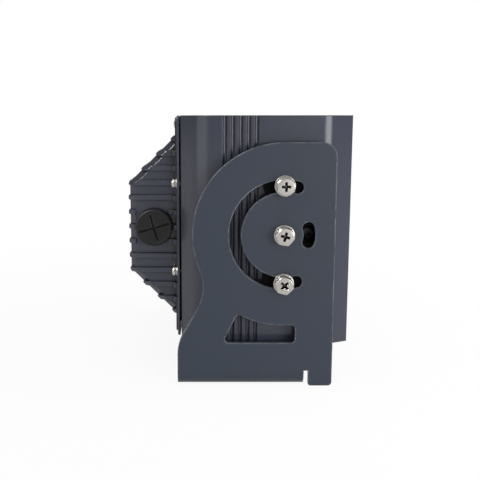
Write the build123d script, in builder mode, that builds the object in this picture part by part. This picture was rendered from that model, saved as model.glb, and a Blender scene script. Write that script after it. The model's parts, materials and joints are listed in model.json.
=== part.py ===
from build123d import *
import os
from math import atan2, cos, degrees, radians, sin, sqrt, tan

# LED flood light on a U-shaped bracket. Sizes are in millimetres.
# X points the way the light shines, Y goes across the lamp and Z is up.
# The origin is the middle of the bracket's base, on its underside.

os.makedirs("parts", exist_ok=True)

# Tilt axis: it runs along Y at this place
pivot_x = 32.5
pivot_z = 120.0

# Running and fitting clearances
slide_gap = 0.1
bolt_play = 0.3
fit_gap = 0.4

# Bracket, one bent sheet
sheet_t = 4.0
bend_inner_r = 6.0
base_length = 99.0
edge_round = 0.6
cheek_arc_r = 70.2
cheek_front = 39.0
cheek_corner_r = 11.4
flank_angle = 61.1
knee_z = 34.5
knee_r = 36.5
waist_r = 35.0
relief_rise = 2.2
relief_w = 3.4
tab_front_r = 3.0
tab_rear_r = 2.0

# Slots and window in each cheek
lock_r = 37.6
slot_w = 9.0
slot_end_angle = 75.0
spare_r = 19.2
spare_slot_half_angle = 16.7
window_floor = 35.0
window_arc_r = 71.0
window_front = 9.5
window_rear = 46.7
window_angle = 64.0
window_corner_r = 3.0

# Holes in the base
centre_hole_r = 6.5
base_slot_w = 11.0
base_slot_length = 28.0
base_slot_y = 60.0

# Lamp body: reaches are measured along X from the tilt axis
body_half = 110.0
body_half_height = 90.0
rear_reach = 80.0
rear_half = 88.0
shoulder_reach = 61.6
shoulder_r = 31.0
brow_reach = 33.5
brow_r = 16.0
front_reach = 53.6
front_half = 100.5
body_wall = 4.5
flute_r = 1.6
flute_pitch = 6.1
flute_count = 5
flute_first = 45.2

# Heat sink inside the body
rear_wall = 6.0
fin_t = 2.5
fin_pitch = 11.5
fin_count = 15
side_pad_t = 16.0
side_pad_rear = 9.0
plate_rear = 8.0
plate_t = 8.0
duct_z = 58.0
duct_outer_r = 6.5
duct_bore_r = 4.5

# Light chamber, open to the front
chamber_half = 84.5
chamber_half_height = 74.0
chamber_corner_r = 6.0
glass_t = 4.0
glass_lap = 5.5
glass_corner_r = 4.0
glass_gasket_t = 1.5
bezel_t = 4.0
bezel_recess = 1.1
bezel_margin = 7.0
bezel_corner_r = 5.0
bezel_bevel = 1.5
bezel_screw_inset = 3.5
bezel_screw_inner_y = 31.0
bezel_screw_inner_z = 28.0
bezel_screw_sink = 1.4

# Rear cover
rear_gasket_t = 1.2
rear_gasket_w = 4.5
cover_flange_t = 1.9
cover_flange_corner_r = 4.0
cover_flange_round = 0.8
cover_plinth_t = 1.7
cover_plinth_inset = 9.0
cover_plinth_step = 1.5
cover_depth = 37.5
cover_flange_w = 12.0
cover_foot = 73.8
cover_back = 36.3
cover_wall = 3.0
cover_corner_r = 8.0
cover_bevel = 4.6
cover_edge_r = 0.8
cover_inner_bevel = 1.2
cover_inner_edge_r = 0.4
rib_t = 4.0
rib_proud = 2.0
rib_rise = 1.2
rib_tip_r = 1.2
rib_pitch = 12.0
rib_side_count = 6
foot_reach = 3.6
foot_width = 4.5
foot_cut = 1.2
pad_half_height = 18.0
pad_front = 6.2
pad_rear = 32.7
cover_screw_inset = 5.4
cover_screw_z = 36.0
cover_screw_top_inset = 7.6

# Cable entries, one each side of the cover
entry_reach = 17.4
entry_thread_r = 12.5
entry_boss_r = 14.0
entry_boss_h = 2.5
plug_r = 15.0
plug_head_t = 4.2
plug_dome = 1.0
plug_thread_length = 12.0
plug_bore_r = 9.5
plug_slot_w = 1.5
plug_slot_depth = 1.6
plug_slot_turn = 16.2
plug_slot_long = 25.5
plug_slot_short = 22.4
seal_t = 1.5
gland_hex = 29.0
gland_hex_h = 7.0
gland_thread_length = 16.0
gland_bore_r = 9.0
gland_neck_wall = 1.5
gland_neck_h = 10.5
gland_nut_length = 19.0
gland_nut_tip_r = 10.5
gland_nut_taper = 5.7
gland_mouth_r = 7.5
gland_insert_r = 8.8
cable_r = 5.0
locknut_hex = 31.0
locknut_t = 5.0
hex_flat_turn = 30.0

# Eight-millimetre bolts that carry the lamp
bolt_r = 4.0
bolt_length = 28.0
bolt_hex = 13.0
bolt_head_h = 5.3
bolt_crown_r = 6.2
bolt_crown_angle = 30.0
bolt_cross_length = 7.0
bolt_cross_w = 1.3
bolt_cross_depth = 3.0
flat_washer_r = 8.0
flat_washer_t = 1.6
spring_washer_r = 6.9
spring_washer_t = 2.0
spacer_r = 15.5
spacer_t = 8.0
tap_r = 4.0
spare_step_r = (7.4, 6.1, 4.9)
spare_step_depth = 2.6
upper_hex_turn = 30.0
upper_cross_turn = 0.0
pivot_hex_turn = -10.4
pivot_cross_turn = -15.0
lower_hex_turn = 44.5
lower_cross_turn = 45.0

# Four-millimetre screws
m4_r = 2.0
m4_head_r = 4.0
m4_head_h = 3.0
m4_washer_r = 4.4
m4_washer_t = 0.8
m4_spring_r = 3.5
m4_spring_t = 1.1
cover_screw_length = 16.0
screw_boss_r = 4.6
screw_boss_length = 12.0

# Cross-recessed heads: shares of the head's own radius or height
pan_round = 0.6
pan_cross_length = 1.2
pan_cross_w = 0.2
pan_cross_depth = 0.6

# Three-millimetre screws
m3_r = 1.5
m3_head_r = 2.75
m3_head_h = 2.0
bezel_screw_length = 12.0
lens_screw_length = 9.0

# LED board and lenses
board_t = 1.6
board_half = 78.0
board_half_height = 66.0
board_corner_r = 4.0
lens_pitch = 25.0
lens_columns = 6
lens_rows = 4
lens_plate_margin = 1.0
lens_plate_t = 3.0
lens_lift = 2.4
lens_rim = 2.0
lens_post_r = 3.0
lens_cap_r = 12.0
lens_cap_h = 9.0
emitter_size = 5.0
emitter_h = 0.8
connector_y = 10.0
connector_size = 12.0
connector_h = 9.0
connector_w = 10.0

# Driver and terminals in the rear cover
driver_rear_y = -54.0
driver_front_y = 44.0
driver_half_height = 31.0
driver_h = 29.0
driver_round = 2.0
driver_foot = 9.0
driver_foot_t = 2.5
driver_foot_half_height = 26.0
driver_screw_z = 19.0
driver_screw_length = 7.0
terminal_y = 27.0
terminal_z = 44.0
terminal_length = 36.0
terminal_height = 14.0
terminal_depth = 15.0
terminal_pitch = 11.0
terminal_screw_r = 2.2
terminal_screw_h = 3.8
terminal_well_r = 2.6
terminal_well_depth = 7.5
terminal_bevel = 1.0
terminal_notch_w = 0.7
terminal_notch_depth = 1.0
lead_r = 1.1
lead_half_gap = 1.9
lead_bend_r = 6.0
lead_tip_bend_r = 3.0
lead_first_turn = 5.0
lead_second_turn = 8.5
lead_duct_clear = 11.0

# Places that the sizes above give
rear_x = pivot_x - rear_reach
shoulder_x = pivot_x - shoulder_reach
brow_x = pivot_x + brow_reach
front_x = pivot_x + front_reach
body_bottom = pivot_z - body_half_height
cheek_inner = body_half + spacer_t + slide_gap
cheek_outer = cheek_inner + sheet_t
bend_outer_r = bend_inner_r + sheet_t
led_seat_x = pivot_x + plate_rear + plate_t
bezel_seat_x = front_x - bezel_recess - bezel_t
glass_seat_x = bezel_seat_x - glass_t
glass_half = chamber_half + glass_lap
glass_half_height = chamber_half_height + glass_lap
bezel_half = glass_half + bezel_margin
bezel_half_height = glass_half_height + bezel_margin
bezel_screw_y = bezel_half - bezel_screw_inset
bezel_screw_z = bezel_half_height - bezel_screw_inset
ledge_x = glass_seat_x - glass_gasket_t
cover_half = rear_half - cover_flange_w
cover_screw_y = rear_half - cover_screw_inset
cover_screw_top_z = body_half_height - cover_screw_top_inset
cover_plinth_half = rear_half - cover_plinth_inset
cover_plinth_half_height = body_half_height - cover_plinth_step
cover_seat_x = rear_x - rear_gasket_t
cover_flange_x = cover_seat_x - cover_flange_t
cover_plinth_x = cover_flange_x - cover_plinth_t
cover_back_x = cover_plinth_x - cover_depth
entry_x = cover_plinth_x - entry_reach
entry_face = cover_half + entry_boss_h


# A plane that faces outwards on the near side (-1) or the far side (+1)
def side_plane(side, x, y, z):
    return Plane(origin=(x, side * y, z), x_dir=(-side, 0, 0), z_dir=(0, side, 0))


# A plane that faces the rear
def rear_plane(x, y, z):
    return Plane(origin=(x, y, z), x_dir=(0, -1, 0), z_dir=(-1, 0, 0))


# A plane that faces the front
def front_plane(x, y, z):
    return Plane(origin=(x, y, z), x_dir=(0, 1, 0), z_dir=(1, 0, 0))


# Every pair of signs of y and z, about the tilt axis's height
def four_places(y, z):
    return [(sy * y, pivot_z + sz * z) for sy in (-1, 1) for sz in (-1, 1)]


# Whether an edge of the bracket bounds the inner or the outer face of a cheek
def is_cheek_rim(edge):
    ends = [abs(v.Y) for v in edge.vertices()]
    in_face = any(all(abs(end - y) < slide_gap / 2 for end in ends) for y in (cheek_inner, cheek_outer))
    seam = all(abs(v.Z - bend_outer_r) < slide_gap / 2 for v in edge.vertices())
    return in_face and not seam


# A washer or ring that stands on the XY plane
def ring(outer_r, inner_r, thickness):
    with BuildPart() as ring_part:
        Cylinder(outer_r, thickness, align=(Align.CENTER, Align.CENTER, Align.MIN))
        Hole(inner_r)
    return ring_part.part


# A split spring washer that stands on the XY plane
def spring_ring(outer_r, inner_r, thickness):
    with BuildPart() as spring_part:
        Cylinder(outer_r, thickness, align=(Align.CENTER, Align.CENTER, Align.MIN))
        Hole(inner_r)
        with Locations((outer_r, 0, thickness / 2)):
            Box(2 * outer_r, thickness / 2, 2 * thickness, mode=Mode.SUBTRACT)
    return spring_part.part


# A screw with a domed head above the XY plane, a cross recess and its shank below
def pan_screw(head_r, head_h, shank_r, length):
    with BuildPart() as screw:
        Cylinder(head_r, head_h, align=(Align.CENTER, Align.CENTER, Align.MIN))
        fillet(screw.edges().group_by(Axis.Z)[-1], pan_round * head_h)
        with BuildSketch(Plane.XY.offset(head_h)):
            Rectangle(pan_cross_length * head_r, pan_cross_w * head_r)
            Rectangle(pan_cross_w * head_r, pan_cross_length * head_r)
        extrude(amount=-pan_cross_depth * head_h, mode=Mode.SUBTRACT)
        Cylinder(shank_r, length, align=(Align.CENTER, Align.CENTER, Align.MAX))
    return screw.part


# A hexagon bolt: its head, turned by hex_turn, is above the XY plane
def hex_bolt(hex_turn, cross_turn):
    crown_fall = (bolt_hex - bolt_crown_r) * tan(radians(bolt_crown_angle))
    with BuildPart() as bolt:
        with BuildSketch():
            RegularPolygon(bolt_hex / 2, 6, major_radius=False, rotation=hex_turn)
        extrude(amount=bolt_head_h)
        with BuildSketch(Plane.XZ):
            with BuildLine():
                Polyline(
                    (0, -bolt_length),
                    (bolt_hex, -bolt_length),
                    (bolt_hex, bolt_head_h - crown_fall),
                    (bolt_crown_r, bolt_head_h),
                    (0, bolt_head_h),
                    close=True,
                )
            make_face()
        revolve(axis=Axis.Z, mode=Mode.INTERSECT)
        with BuildSketch(Plane.XY.offset(bolt_head_h)):
            Circle(bolt_cross_length / 2)
        extrude(amount=-bolt_cross_w / 2, taper=45, mode=Mode.SUBTRACT)
        with BuildSketch(Plane.XY.offset(bolt_head_h)):
            Rectangle(bolt_cross_length, bolt_cross_w, rotation=cross_turn)
            Rectangle(bolt_cross_w, bolt_cross_length, rotation=cross_turn)
            Rectangle(2 * bolt_cross_w, 2 * bolt_cross_w, rotation=cross_turn + 45)
        extrude(amount=-bolt_cross_depth, mode=Mode.SUBTRACT)
        Cylinder(bolt_r, bolt_length, align=(Align.CENTER, Align.CENTER, Align.MAX))
    return bolt.part


# Bracket: the window's top reaches into the arc that bounds it
window_foot_x = pivot_x - window_rear
window_top = pivot_z - window_arc_r / 2
window_top_x = window_foot_x + (window_top - window_floor) / tan(radians(window_angle))
with BuildSketch() as window:
    with BuildLine():
        Polyline(
            (window_foot_x, window_floor),
            (pivot_x + window_front, window_floor),
            (pivot_x + window_front, window_top),
            (window_top_x, window_top),
            close=True,
        )
    make_face()
    with Locations((pivot_x, pivot_z)):
        Circle(window_arc_r, mode=Mode.SUBTRACT)
    fillet(window.vertices(), window_corner_r)

# The cheek's flank is a straight line from the knee up to the big arc
pivot = Vector(pivot_x, pivot_z)
knee = Vector(-base_length / 2, knee_z)
flank = Vector(cos(radians(flank_angle)), sin(radians(flank_angle)))
nearest = knee + flank * (pivot - knee).dot(flank)
waist = nearest - flank * sqrt(cheek_arc_r**2 - (nearest - pivot).length ** 2)
waist_angle = degrees(atan2(waist.Y - pivot.Y, waist.X - pivot.X)) % 360
cheek_top = pivot_z + cheek_arc_r
cheek_front_x = pivot_x + cheek_front
relief_top = bend_outer_r + relief_rise
tab_rear_x = base_length / 2 + relief_w
lock_slot_line = CenterArc(pivot, lock_r, slot_end_angle, 360 - 2 * slot_end_angle)
spare_slot_line = CenterArc(pivot, spare_r, -spare_slot_half_angle, 2 * spare_slot_half_angle)
with BuildSketch() as cheek:
    with BuildLine():
        CenterArc(pivot, cheek_arc_r, 90, waist_angle - 90)
        Polyline(
            waist,
            knee,
            (-base_length / 2, bend_outer_r),
            (base_length / 2, bend_outer_r),
            (base_length / 2, relief_top),
            (tab_rear_x, relief_top),
            (tab_rear_x, 0),
            (cheek_front_x, 0),
            (cheek_front_x, cheek_top),
            (pivot_x, cheek_top),
        )
    make_face()
    fillet(cheek.vertices().sort_by_distance((waist.X, waist.Y))[0], waist_r)
    fillet(cheek.vertices().sort_by_distance((knee.X, knee.Y))[0], knee_r)
    fillet(cheek.vertices().sort_by_distance((cheek_front_x, cheek_top))[0], cheek_corner_r)
    fillet(cheek.vertices().sort_by_distance((cheek_front_x, 0))[0], tab_front_r)
    fillet(cheek.vertices().sort_by_distance((tab_rear_x, 0))[0], tab_rear_r)
    add(window.sketch, mode=Mode.SUBTRACT)
    SlotArc(lock_slot_line, slot_w, mode=Mode.SUBTRACT)
    SlotArc(spare_slot_line, slot_w, mode=Mode.SUBTRACT)
    with Locations((pivot_x, pivot_z)):
        Circle(bolt_r + bolt_play, mode=Mode.SUBTRACT)

# The base and its two bends are the U between the cheeks
base_plane = Plane.YZ.offset(-base_length / 2)
with BuildSketch() as bend_hollow:
    with Locations((0, sheet_t)):
        Rectangle(2 * cheek_inner, relief_top, align=(Align.CENTER, Align.MIN))
    fillet(bend_hollow.vertices().group_by(Axis.Y)[0], bend_inner_r)

with BuildPart() as mounting_bracket:
    for plane in (Plane.XZ.offset(cheek_inner), Plane.XZ.offset(-cheek_outer)):
        with BuildSketch(plane):
            add(cheek.sketch)
        extrude(amount=sheet_t)
    fillet([e for e in mounting_bracket.edges() if is_cheek_rim(e)], edge_round)
    with BuildSketch(base_plane) as bend_section:
        Rectangle(2 * cheek_outer, relief_top, align=(Align.CENTER, Align.MIN))
        fillet(bend_section.vertices().group_by(Axis.Y)[0], bend_outer_r)
        add(bend_hollow.sketch, mode=Mode.SUBTRACT)
    extrude(amount=base_length)
    with BuildSketch():
        Circle(centre_hole_r)
        with Locations((0, base_slot_y), (0, -base_slot_y)):
            SlotOverall(base_slot_length, base_slot_w, rotation=90)
    extrude(amount=sheet_t, mode=Mode.SUBTRACT)

mounting_bracket.part.label = "mounting_bracket"
export_step(mounting_bracket.part, "parts/mounting_bracket.step")

# Lamp body: its plan runs the full height, with flutes down each side
flute_middle_x = pivot_x - flute_first + (flute_count - 1) / 2 * flute_pitch
with BuildSketch() as body_plan:
    with BuildLine():
        Polyline(
            (rear_x, -rear_half),
            (shoulder_x, -body_half),
            (brow_x, -body_half),
            (front_x, -front_half),
            (front_x, front_half),
            (brow_x, body_half),
            (shoulder_x, body_half),
            (rear_x, rear_half),
            close=True,
        )
    make_face()
    fillet([v for v in body_plan.vertices() if abs(v.X - shoulder_x) < slide_gap], shoulder_r)
    fillet([v for v in body_plan.vertices() if abs(v.X - brow_x) < slide_gap], brow_r)

# The air channels of the heat sink run straight up through the body
channel_front_x = pivot_x + plate_rear
channel_rear_x = rear_x + rear_wall
channel_middle_x = (channel_front_x + channel_rear_x) / 2
channel_length = channel_front_x - channel_rear_x
with BuildSketch() as channels:
    add(body_plan.sketch)
    offset(amount=-body_wall, kind=Kind.INTERSECTION)
    with Locations((channel_middle_x, 0)):
        Rectangle(channel_length, 2 * body_half, mode=Mode.INTERSECT)
        with GridLocations(1, fin_pitch, 1, fin_count):
            Rectangle(channel_length, fin_t, mode=Mode.SUBTRACT)
    for side in (-1, 1):
        with Locations((pivot_x - side_pad_rear, side * body_half)):
            Rectangle(
                side_pad_rear + plate_rear,
                2 * side_pad_t,
                align=(Align.MIN, Align.CENTER),
                mode=Mode.SUBTRACT,
            )

duct_place = (0, pivot_z + duct_z)
bolt_places = [(pivot_x, pivot_z), (pivot_x, pivot_z + lock_r), (pivot_x, pivot_z - lock_r)]
cover_screw_marks = [(cover_flange_x, y, z) for y, z in four_places(cover_screw_y, cover_screw_z)]
cover_screw_marks += [(cover_plinth_x, 0, pivot_z + sz * cover_screw_top_z) for sz in (-1, 1)]
cover_screw_places = [(y, z) for x, y, z in cover_screw_marks]
bezel_screw_places = four_places(bezel_screw_y, bezel_screw_z)
bezel_screw_places += four_places(bezel_screw_y, bezel_screw_inner_z)
bezel_screw_places += four_places(bezel_screw_inner_y, bezel_screw_z)
driver_screw_places = [
    (y, pivot_z + sz * driver_screw_z)
    for y in (driver_rear_y - driver_foot / 2, driver_front_y + driver_foot / 2)
    for sz in (-1, 1)
]
lens_screw_places = four_places(2 * lens_pitch, lens_pitch) + four_places(0, lens_pitch)[:2]

with BuildPart() as lamp_body:
    with BuildSketch(Plane.XY.offset(body_bottom)):
        add(body_plan.sketch)
        for side in (-1, 1):
            with Locations((flute_middle_x, side * body_half)):
                with GridLocations(flute_pitch, 1, flute_count, 1):
                    Circle(flute_r, mode=Mode.SUBTRACT)
    extrude(amount=2 * body_half_height)
    with BuildSketch(Plane.XY.offset(body_bottom)):
        add(channels.sketch)
    extrude(amount=2 * body_half_height, mode=Mode.SUBTRACT)
    with BuildSketch(Plane.YZ.offset(channel_rear_x)):
        with Locations(duct_place):
            Circle(duct_outer_r)
    extrude(amount=channel_length)
    with BuildSketch(Plane.YZ.offset(channel_rear_x)):
        with Locations(*cover_screw_places):
            Circle(screw_boss_r)
    extrude(amount=screw_boss_length)
    with BuildSketch(Plane.YZ.offset(rear_x)):
        with Locations(duct_place):
            Circle(duct_bore_r)
    extrude(amount=led_seat_x - rear_x, mode=Mode.SUBTRACT)
    with BuildSketch(Plane.YZ.offset(led_seat_x)):
        with Locations((0, pivot_z)):
            RectangleRounded(2 * chamber_half, 2 * chamber_half_height, chamber_corner_r)
    extrude(amount=front_x - led_seat_x, mode=Mode.SUBTRACT)
    with BuildSketch(Plane.YZ.offset(ledge_x)):
        with Locations((0, pivot_z)):
            RectangleRounded(
                2 * (glass_half + fit_gap),
                2 * (glass_half_height + fit_gap),
                glass_corner_r + fit_gap,
            )
    extrude(amount=front_x - ledge_x, mode=Mode.SUBTRACT)
    with BuildSketch(Plane.YZ.offset(bezel_seat_x)):
        with Locations((0, pivot_z)):
            RectangleRounded(
                2 * (bezel_half + fit_gap),
                2 * (bezel_half_height + fit_gap),
                bezel_corner_r + fit_gap,
            )
    extrude(amount=front_x - bezel_seat_x, mode=Mode.SUBTRACT)
    with BuildSketch(Plane.YZ.offset(bezel_seat_x)):
        with Locations(*bezel_screw_places):
            Circle(m3_r + slide_gap)
    extrude(amount=bezel_t - bezel_screw_sink - bezel_screw_length - slide_gap, mode=Mode.SUBTRACT)
    with BuildSketch(Plane.YZ.offset(led_seat_x)):
        with Locations(*lens_screw_places):
            Circle(m3_r + slide_gap)
    lens_stack = board_t + lens_lift + lens_plate_t
    extrude(amount=lens_stack - lens_screw_length - slide_gap, mode=Mode.SUBTRACT)
    with BuildSketch(Plane.YZ.offset(rear_x)):
        with Locations(*cover_screw_places):
            Circle(m4_r + slide_gap)
    cover_screw_stack = m4_washer_t + m4_spring_t + cover_flange_t + rear_gasket_t
    extrude(amount=cover_screw_length - cover_screw_stack + slide_gap, mode=Mode.SUBTRACT)
    with BuildSketch(Plane.YZ.offset(rear_x)):
        with Locations(*driver_screw_places):
            Circle(m4_r + slide_gap)
    extrude(amount=driver_screw_length - driver_foot_t + slide_gap, mode=Mode.SUBTRACT)
    bolt_stack = flat_washer_t + spring_washer_t + sheet_t + spacer_t + 2 * slide_gap
    for side in (-1, 1):
        for x, z in bolt_places:
            with BuildSketch(side_plane(side, x, body_half, z)):
                Circle(bolt_r + slide_gap)
            extrude(amount=bolt_stack - bolt_length - slide_gap, mode=Mode.SUBTRACT)
        with BuildSketch(side_plane(side, pivot_x + spare_r, body_half, pivot_z)):
            Circle(tap_r)
        extrude(amount=bolt_stack - bolt_length, mode=Mode.SUBTRACT)

lamp_body.part.label = "lamp_body"
export_step(lamp_body.part, "parts/lamp_body.step")

# Whether an edge of the closed box runs along its bevel, on the side or on the slopes
def is_bevel_line(edge, widen, bevel):
    ends = [abs(v.Y) for v in edge.vertices()]
    lines = (cover_half + widen, cover_half + widen - bevel)
    return any(all(abs(end - y) < slide_gap for end in ends) for y in lines)


# Rear cover: its side view, grown or shrunk, from the gasket to its back
def cover_outline(grow):
    slope = (cover_foot - cover_back) / cover_depth
    overrun = cover_seat_x - cover_plinth_x + rear_gasket_t + cover_depth
    mouth_half = cover_foot + slope * overrun
    with BuildSketch() as outline:
        with BuildLine():
            Polyline(
                (cover_plinth_x + overrun, pivot_z + mouth_half),
                (cover_back_x, pivot_z + cover_back),
                (cover_back_x, pivot_z - cover_back),
                (cover_plinth_x + overrun, pivot_z - mouth_half),
                close=True,
            )
        make_face()
        fillet(outline.vertices().group_by(Axis.X)[0], cover_corner_r)
        offset(amount=grow)
        with Locations((cover_seat_x, pivot_z)):
            Rectangle(
                2 * cover_depth,
                4 * cover_foot,
                align=(Align.MAX, Align.CENTER),
                mode=Mode.INTERSECT,
            )
    return outline.sketch


# The closed box: that side view drawn out across the lamp, bevelled along its sides
def cover_block(grow, widen, bevel, edge_r):
    with BuildPart() as block:
        with BuildSketch(Plane.XZ):
            add(cover_outline(grow))
        extrude(amount=cover_half + widen, both=True)
        sides = block.faces().sort_by(Axis.Y)[0].edges() + block.faces().sort_by(Axis.Y)[-1].edges()
        chamfer([e for e in sides if e.center().X < cover_seat_x - slide_gap], bevel)
        fillet([e for e in block.edges() if is_bevel_line(e, widen, bevel)], edge_r)
    return block.part


# Ribs: rounded at their tips along the back and the slopes
rib_levels = [k * rib_pitch for k in range(-rib_side_count, rib_side_count + 1)]
with BuildPart() as cover_ribs:
    with BuildSketch(Plane.XZ) as rib_view:
        with Locations(*[(cover_seat_x, pivot_z + level) for level in rib_levels]):
            Rectangle(2 * cover_depth, rib_t, align=(Align.MAX, Align.CENTER))
        add(cover_outline(rib_rise), mode=Mode.INTERSECT)
        fillet([v for v in rib_view.vertices() if v.X < cover_seat_x - slide_gap], rib_tip_r)
    extrude(amount=cover_half + rib_proud, both=True)
    add(cover_block(rib_rise, rib_proud, cover_bevel, cover_edge_r), mode=Mode.INTERSECT)
    for side in (-1, 1):
        with Locations((cover_plinth_x - (pad_front + pad_rear) / 2, side * entry_face, pivot_z)):
            Box(
                pad_rear - pad_front,
                2 * entry_boss_h,
                2 * pad_half_height,
                mode=Mode.SUBTRACT,
            )

with BuildPart() as cover_flange:
    with BuildSketch(Plane.YZ.offset(cover_flange_x)):
        with Locations((0, pivot_z)):
            RectangleRounded(2 * rear_half, 2 * body_half_height, cover_flange_corner_r)
    extrude(amount=cover_flange_t)
    fillet(cover_flange.edges().group_by(Axis.X)[0], cover_flange_round)
    with BuildSketch(Plane.YZ.offset(cover_plinth_x)):
        with Locations((0, pivot_z)):
            RectangleRounded(
                2 * cover_plinth_half, 2 * cover_plinth_half_height, cover_flange_corner_r
            )
    extrude(amount=cover_plinth_t)

# Feet that brace the flange at each rib, but for those at the side screws
screw_clear = m4_washer_r + rib_t / 2
foot_levels = [level for level in rib_levels[1:-1] if abs(abs(level) - cover_screw_z) > screw_clear]
foot_outer = cover_half + rib_proud + foot_width
foot_tip_x = cover_flange_x - foot_reach
with BuildPart() as cover_feet:
    for level in foot_levels:
        with BuildSketch(Plane.XY.offset(pivot_z + level - rib_t / 2)):
            for side in (-1, 1):
                with BuildLine():
                    Polyline(
                        (cover_seat_x - cover_flange_t / 2, side * cover_half),
                        (cover_seat_x - cover_flange_t / 2, side * foot_outer),
                        (foot_tip_x + foot_cut, side * foot_outer),
                        (foot_tip_x, side * (foot_outer - foot_cut)),
                        (foot_tip_x, side * cover_half),
                        close=True,
                    )
                make_face()
        extrude(amount=rib_t)

screw_stack_t = m4_washer_t + m4_spring_t + m4_head_h
with BuildPart() as rear_cover:
    add(cover_block(0, 0, cover_bevel, cover_edge_r))
    add(cover_ribs.part)
    with Locations(*[side_plane(side, entry_x, cover_half - cover_wall, pivot_z) for side in (-1, 1)]):
        Cylinder(
            entry_boss_r,
            cover_wall + entry_boss_h,
            align=(Align.CENTER, Align.CENTER, Align.MIN),
        )
    add(cover_flange.part)
    add(cover_feet.part)
    add(cover_block(-cover_wall, -cover_wall, cover_inner_bevel, cover_inner_edge_r), mode=Mode.SUBTRACT)
    with Locations((entry_x, 0, pivot_z)):
        Cylinder(
            entry_thread_r + slide_gap,
            2 * entry_face,
            rotation=(90, 0, 0),
            mode=Mode.SUBTRACT,
        )
    with Locations(*[rear_plane(x, y, z) for x, y, z in cover_screw_marks]):
        Cylinder(
            m4_washer_r + slide_gap,
            screw_stack_t,
            align=(Align.CENTER, Align.CENTER, Align.MIN),
            mode=Mode.SUBTRACT,
        )
    with BuildSketch(Plane.YZ.offset(cover_plinth_x)):
        with Locations(*cover_screw_places):
            Circle(m4_r + bolt_play)
    extrude(amount=cover_plinth_t + cover_flange_t, mode=Mode.SUBTRACT)

rear_cover.part.label = "rear_cover"
export_step(rear_cover.part, "parts/rear_cover.step")

# Rear gasket: a flat frame just outside the cover's mouth
gasket_half = cover_screw_y - m4_r - bolt_play - fit_gap
gasket_half_height = cover_screw_top_z - m4_r - bolt_play - fit_gap
with BuildPart() as rear_gasket:
    with BuildSketch(Plane.YZ.offset(cover_seat_x)):
        with Locations((0, pivot_z)):
            RectangleRounded(2 * gasket_half, 2 * gasket_half_height, cover_flange_corner_r)
            Rectangle(
                2 * (gasket_half - rear_gasket_w),
                2 * (gasket_half_height - rear_gasket_w),
                mode=Mode.SUBTRACT,
            )
    extrude(amount=rear_gasket_t)

rear_gasket.part.label = "rear_gasket"
export_step(rear_gasket.part, "parts/rear_gasket.step")

# Cover screws, each with a flat and a spring washer under its head
with BuildPart() as cover_flat_washers:
    with Locations(*[rear_plane(x, y, z) for x, y, z in cover_screw_marks]):
        add(ring(m4_washer_r, m4_r + slide_gap, m4_washer_t))

cover_flat_washers.part.label = "cover_flat_washers"
export_step(cover_flat_washers.part, "parts/cover_flat_washers.step")

with BuildPart() as cover_spring_washers:
    with Locations(*[rear_plane(x - m4_washer_t, y, z) for x, y, z in cover_screw_marks]):
        add(spring_ring(m4_spring_r, m4_r + slide_gap, m4_spring_t))

cover_spring_washers.part.label = "cover_spring_washers"
export_step(cover_spring_washers.part, "parts/cover_spring_washers.step")

cover_head_lift = m4_washer_t + m4_spring_t
with BuildPart() as cover_screws:
    with Locations(*[rear_plane(x - cover_head_lift, y, z) for x, y, z in cover_screw_marks]):
        add(pan_screw(m4_head_r, m4_head_h, m4_r, cover_screw_length))

cover_screws.part.label = "cover_screws"
export_step(cover_screws.part, "parts/cover_screws.step")

# Blanking plug in the near entry, on its seal
plug_plane = side_plane(-1, entry_x, entry_face + seal_t, pivot_z)
with BuildPart() as blanking_plug:
    with BuildSketch(plug_plane):
        Circle(plug_r)
    extrude(amount=plug_head_t)
    fillet(blanking_plug.edges().filter_by(GeomType.CIRCLE).group_by(Axis.Y)[0], plug_dome)
    with BuildSketch(plug_plane):
        Circle(entry_thread_r)
    extrude(amount=-plug_thread_length)
    with BuildSketch(plug_plane):
        Circle(plug_bore_r)
    extrude(amount=-plug_thread_length, mode=Mode.SUBTRACT)
    with BuildSketch(plug_plane.offset(plug_head_t)):
        Rectangle(plug_slot_long, plug_slot_w, rotation=plug_slot_turn)
        Rectangle(plug_slot_w, plug_slot_short, rotation=plug_slot_turn)
    extrude(amount=-plug_slot_depth, mode=Mode.SUBTRACT)

blanking_plug.part.label = "blanking_plug"
export_step(blanking_plug.part, "parts/blanking_plug.step")

with BuildPart() as plug_seal:
    with BuildSketch(side_plane(-1, entry_x, entry_face, pivot_z)):
        Circle(entry_boss_r)
        Circle(entry_thread_r + slide_gap, mode=Mode.SUBTRACT)
    extrude(amount=seal_t)

plug_seal.part.label = "plug_seal"
export_step(plug_seal.part, "parts/plug_seal.step")

# Cable gland in the far entry: body, nut, rubber insert, seal and locknut
gland_plane = side_plane(1, entry_x, entry_face + seal_t, pivot_z)
gland_nut_y = gland_hex_h + slide_gap
gland_neck_r = gland_insert_r + gland_neck_wall
gland_neck_top = gland_plane.offset(gland_hex_h + gland_neck_h)
with BuildPart() as gland_body:
    with BuildSketch(gland_plane):
        RegularPolygon(gland_hex / 2, 6, major_radius=False, rotation=hex_flat_turn)
    extrude(amount=gland_hex_h)
    with BuildSketch(gland_plane):
        Circle(entry_thread_r)
    extrude(amount=-gland_thread_length)
    with BuildSketch(gland_plane.offset(gland_hex_h)):
        Circle(gland_neck_r)
    extrude(amount=gland_neck_h)
    with BuildSketch(gland_neck_top):
        Circle(gland_bore_r)
    extrude(amount=-gland_thread_length - gland_hex_h - gland_neck_h, mode=Mode.SUBTRACT)

gland_body.part.label = "gland_body"
export_step(gland_body.part, "parts/gland_body.step")

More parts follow.
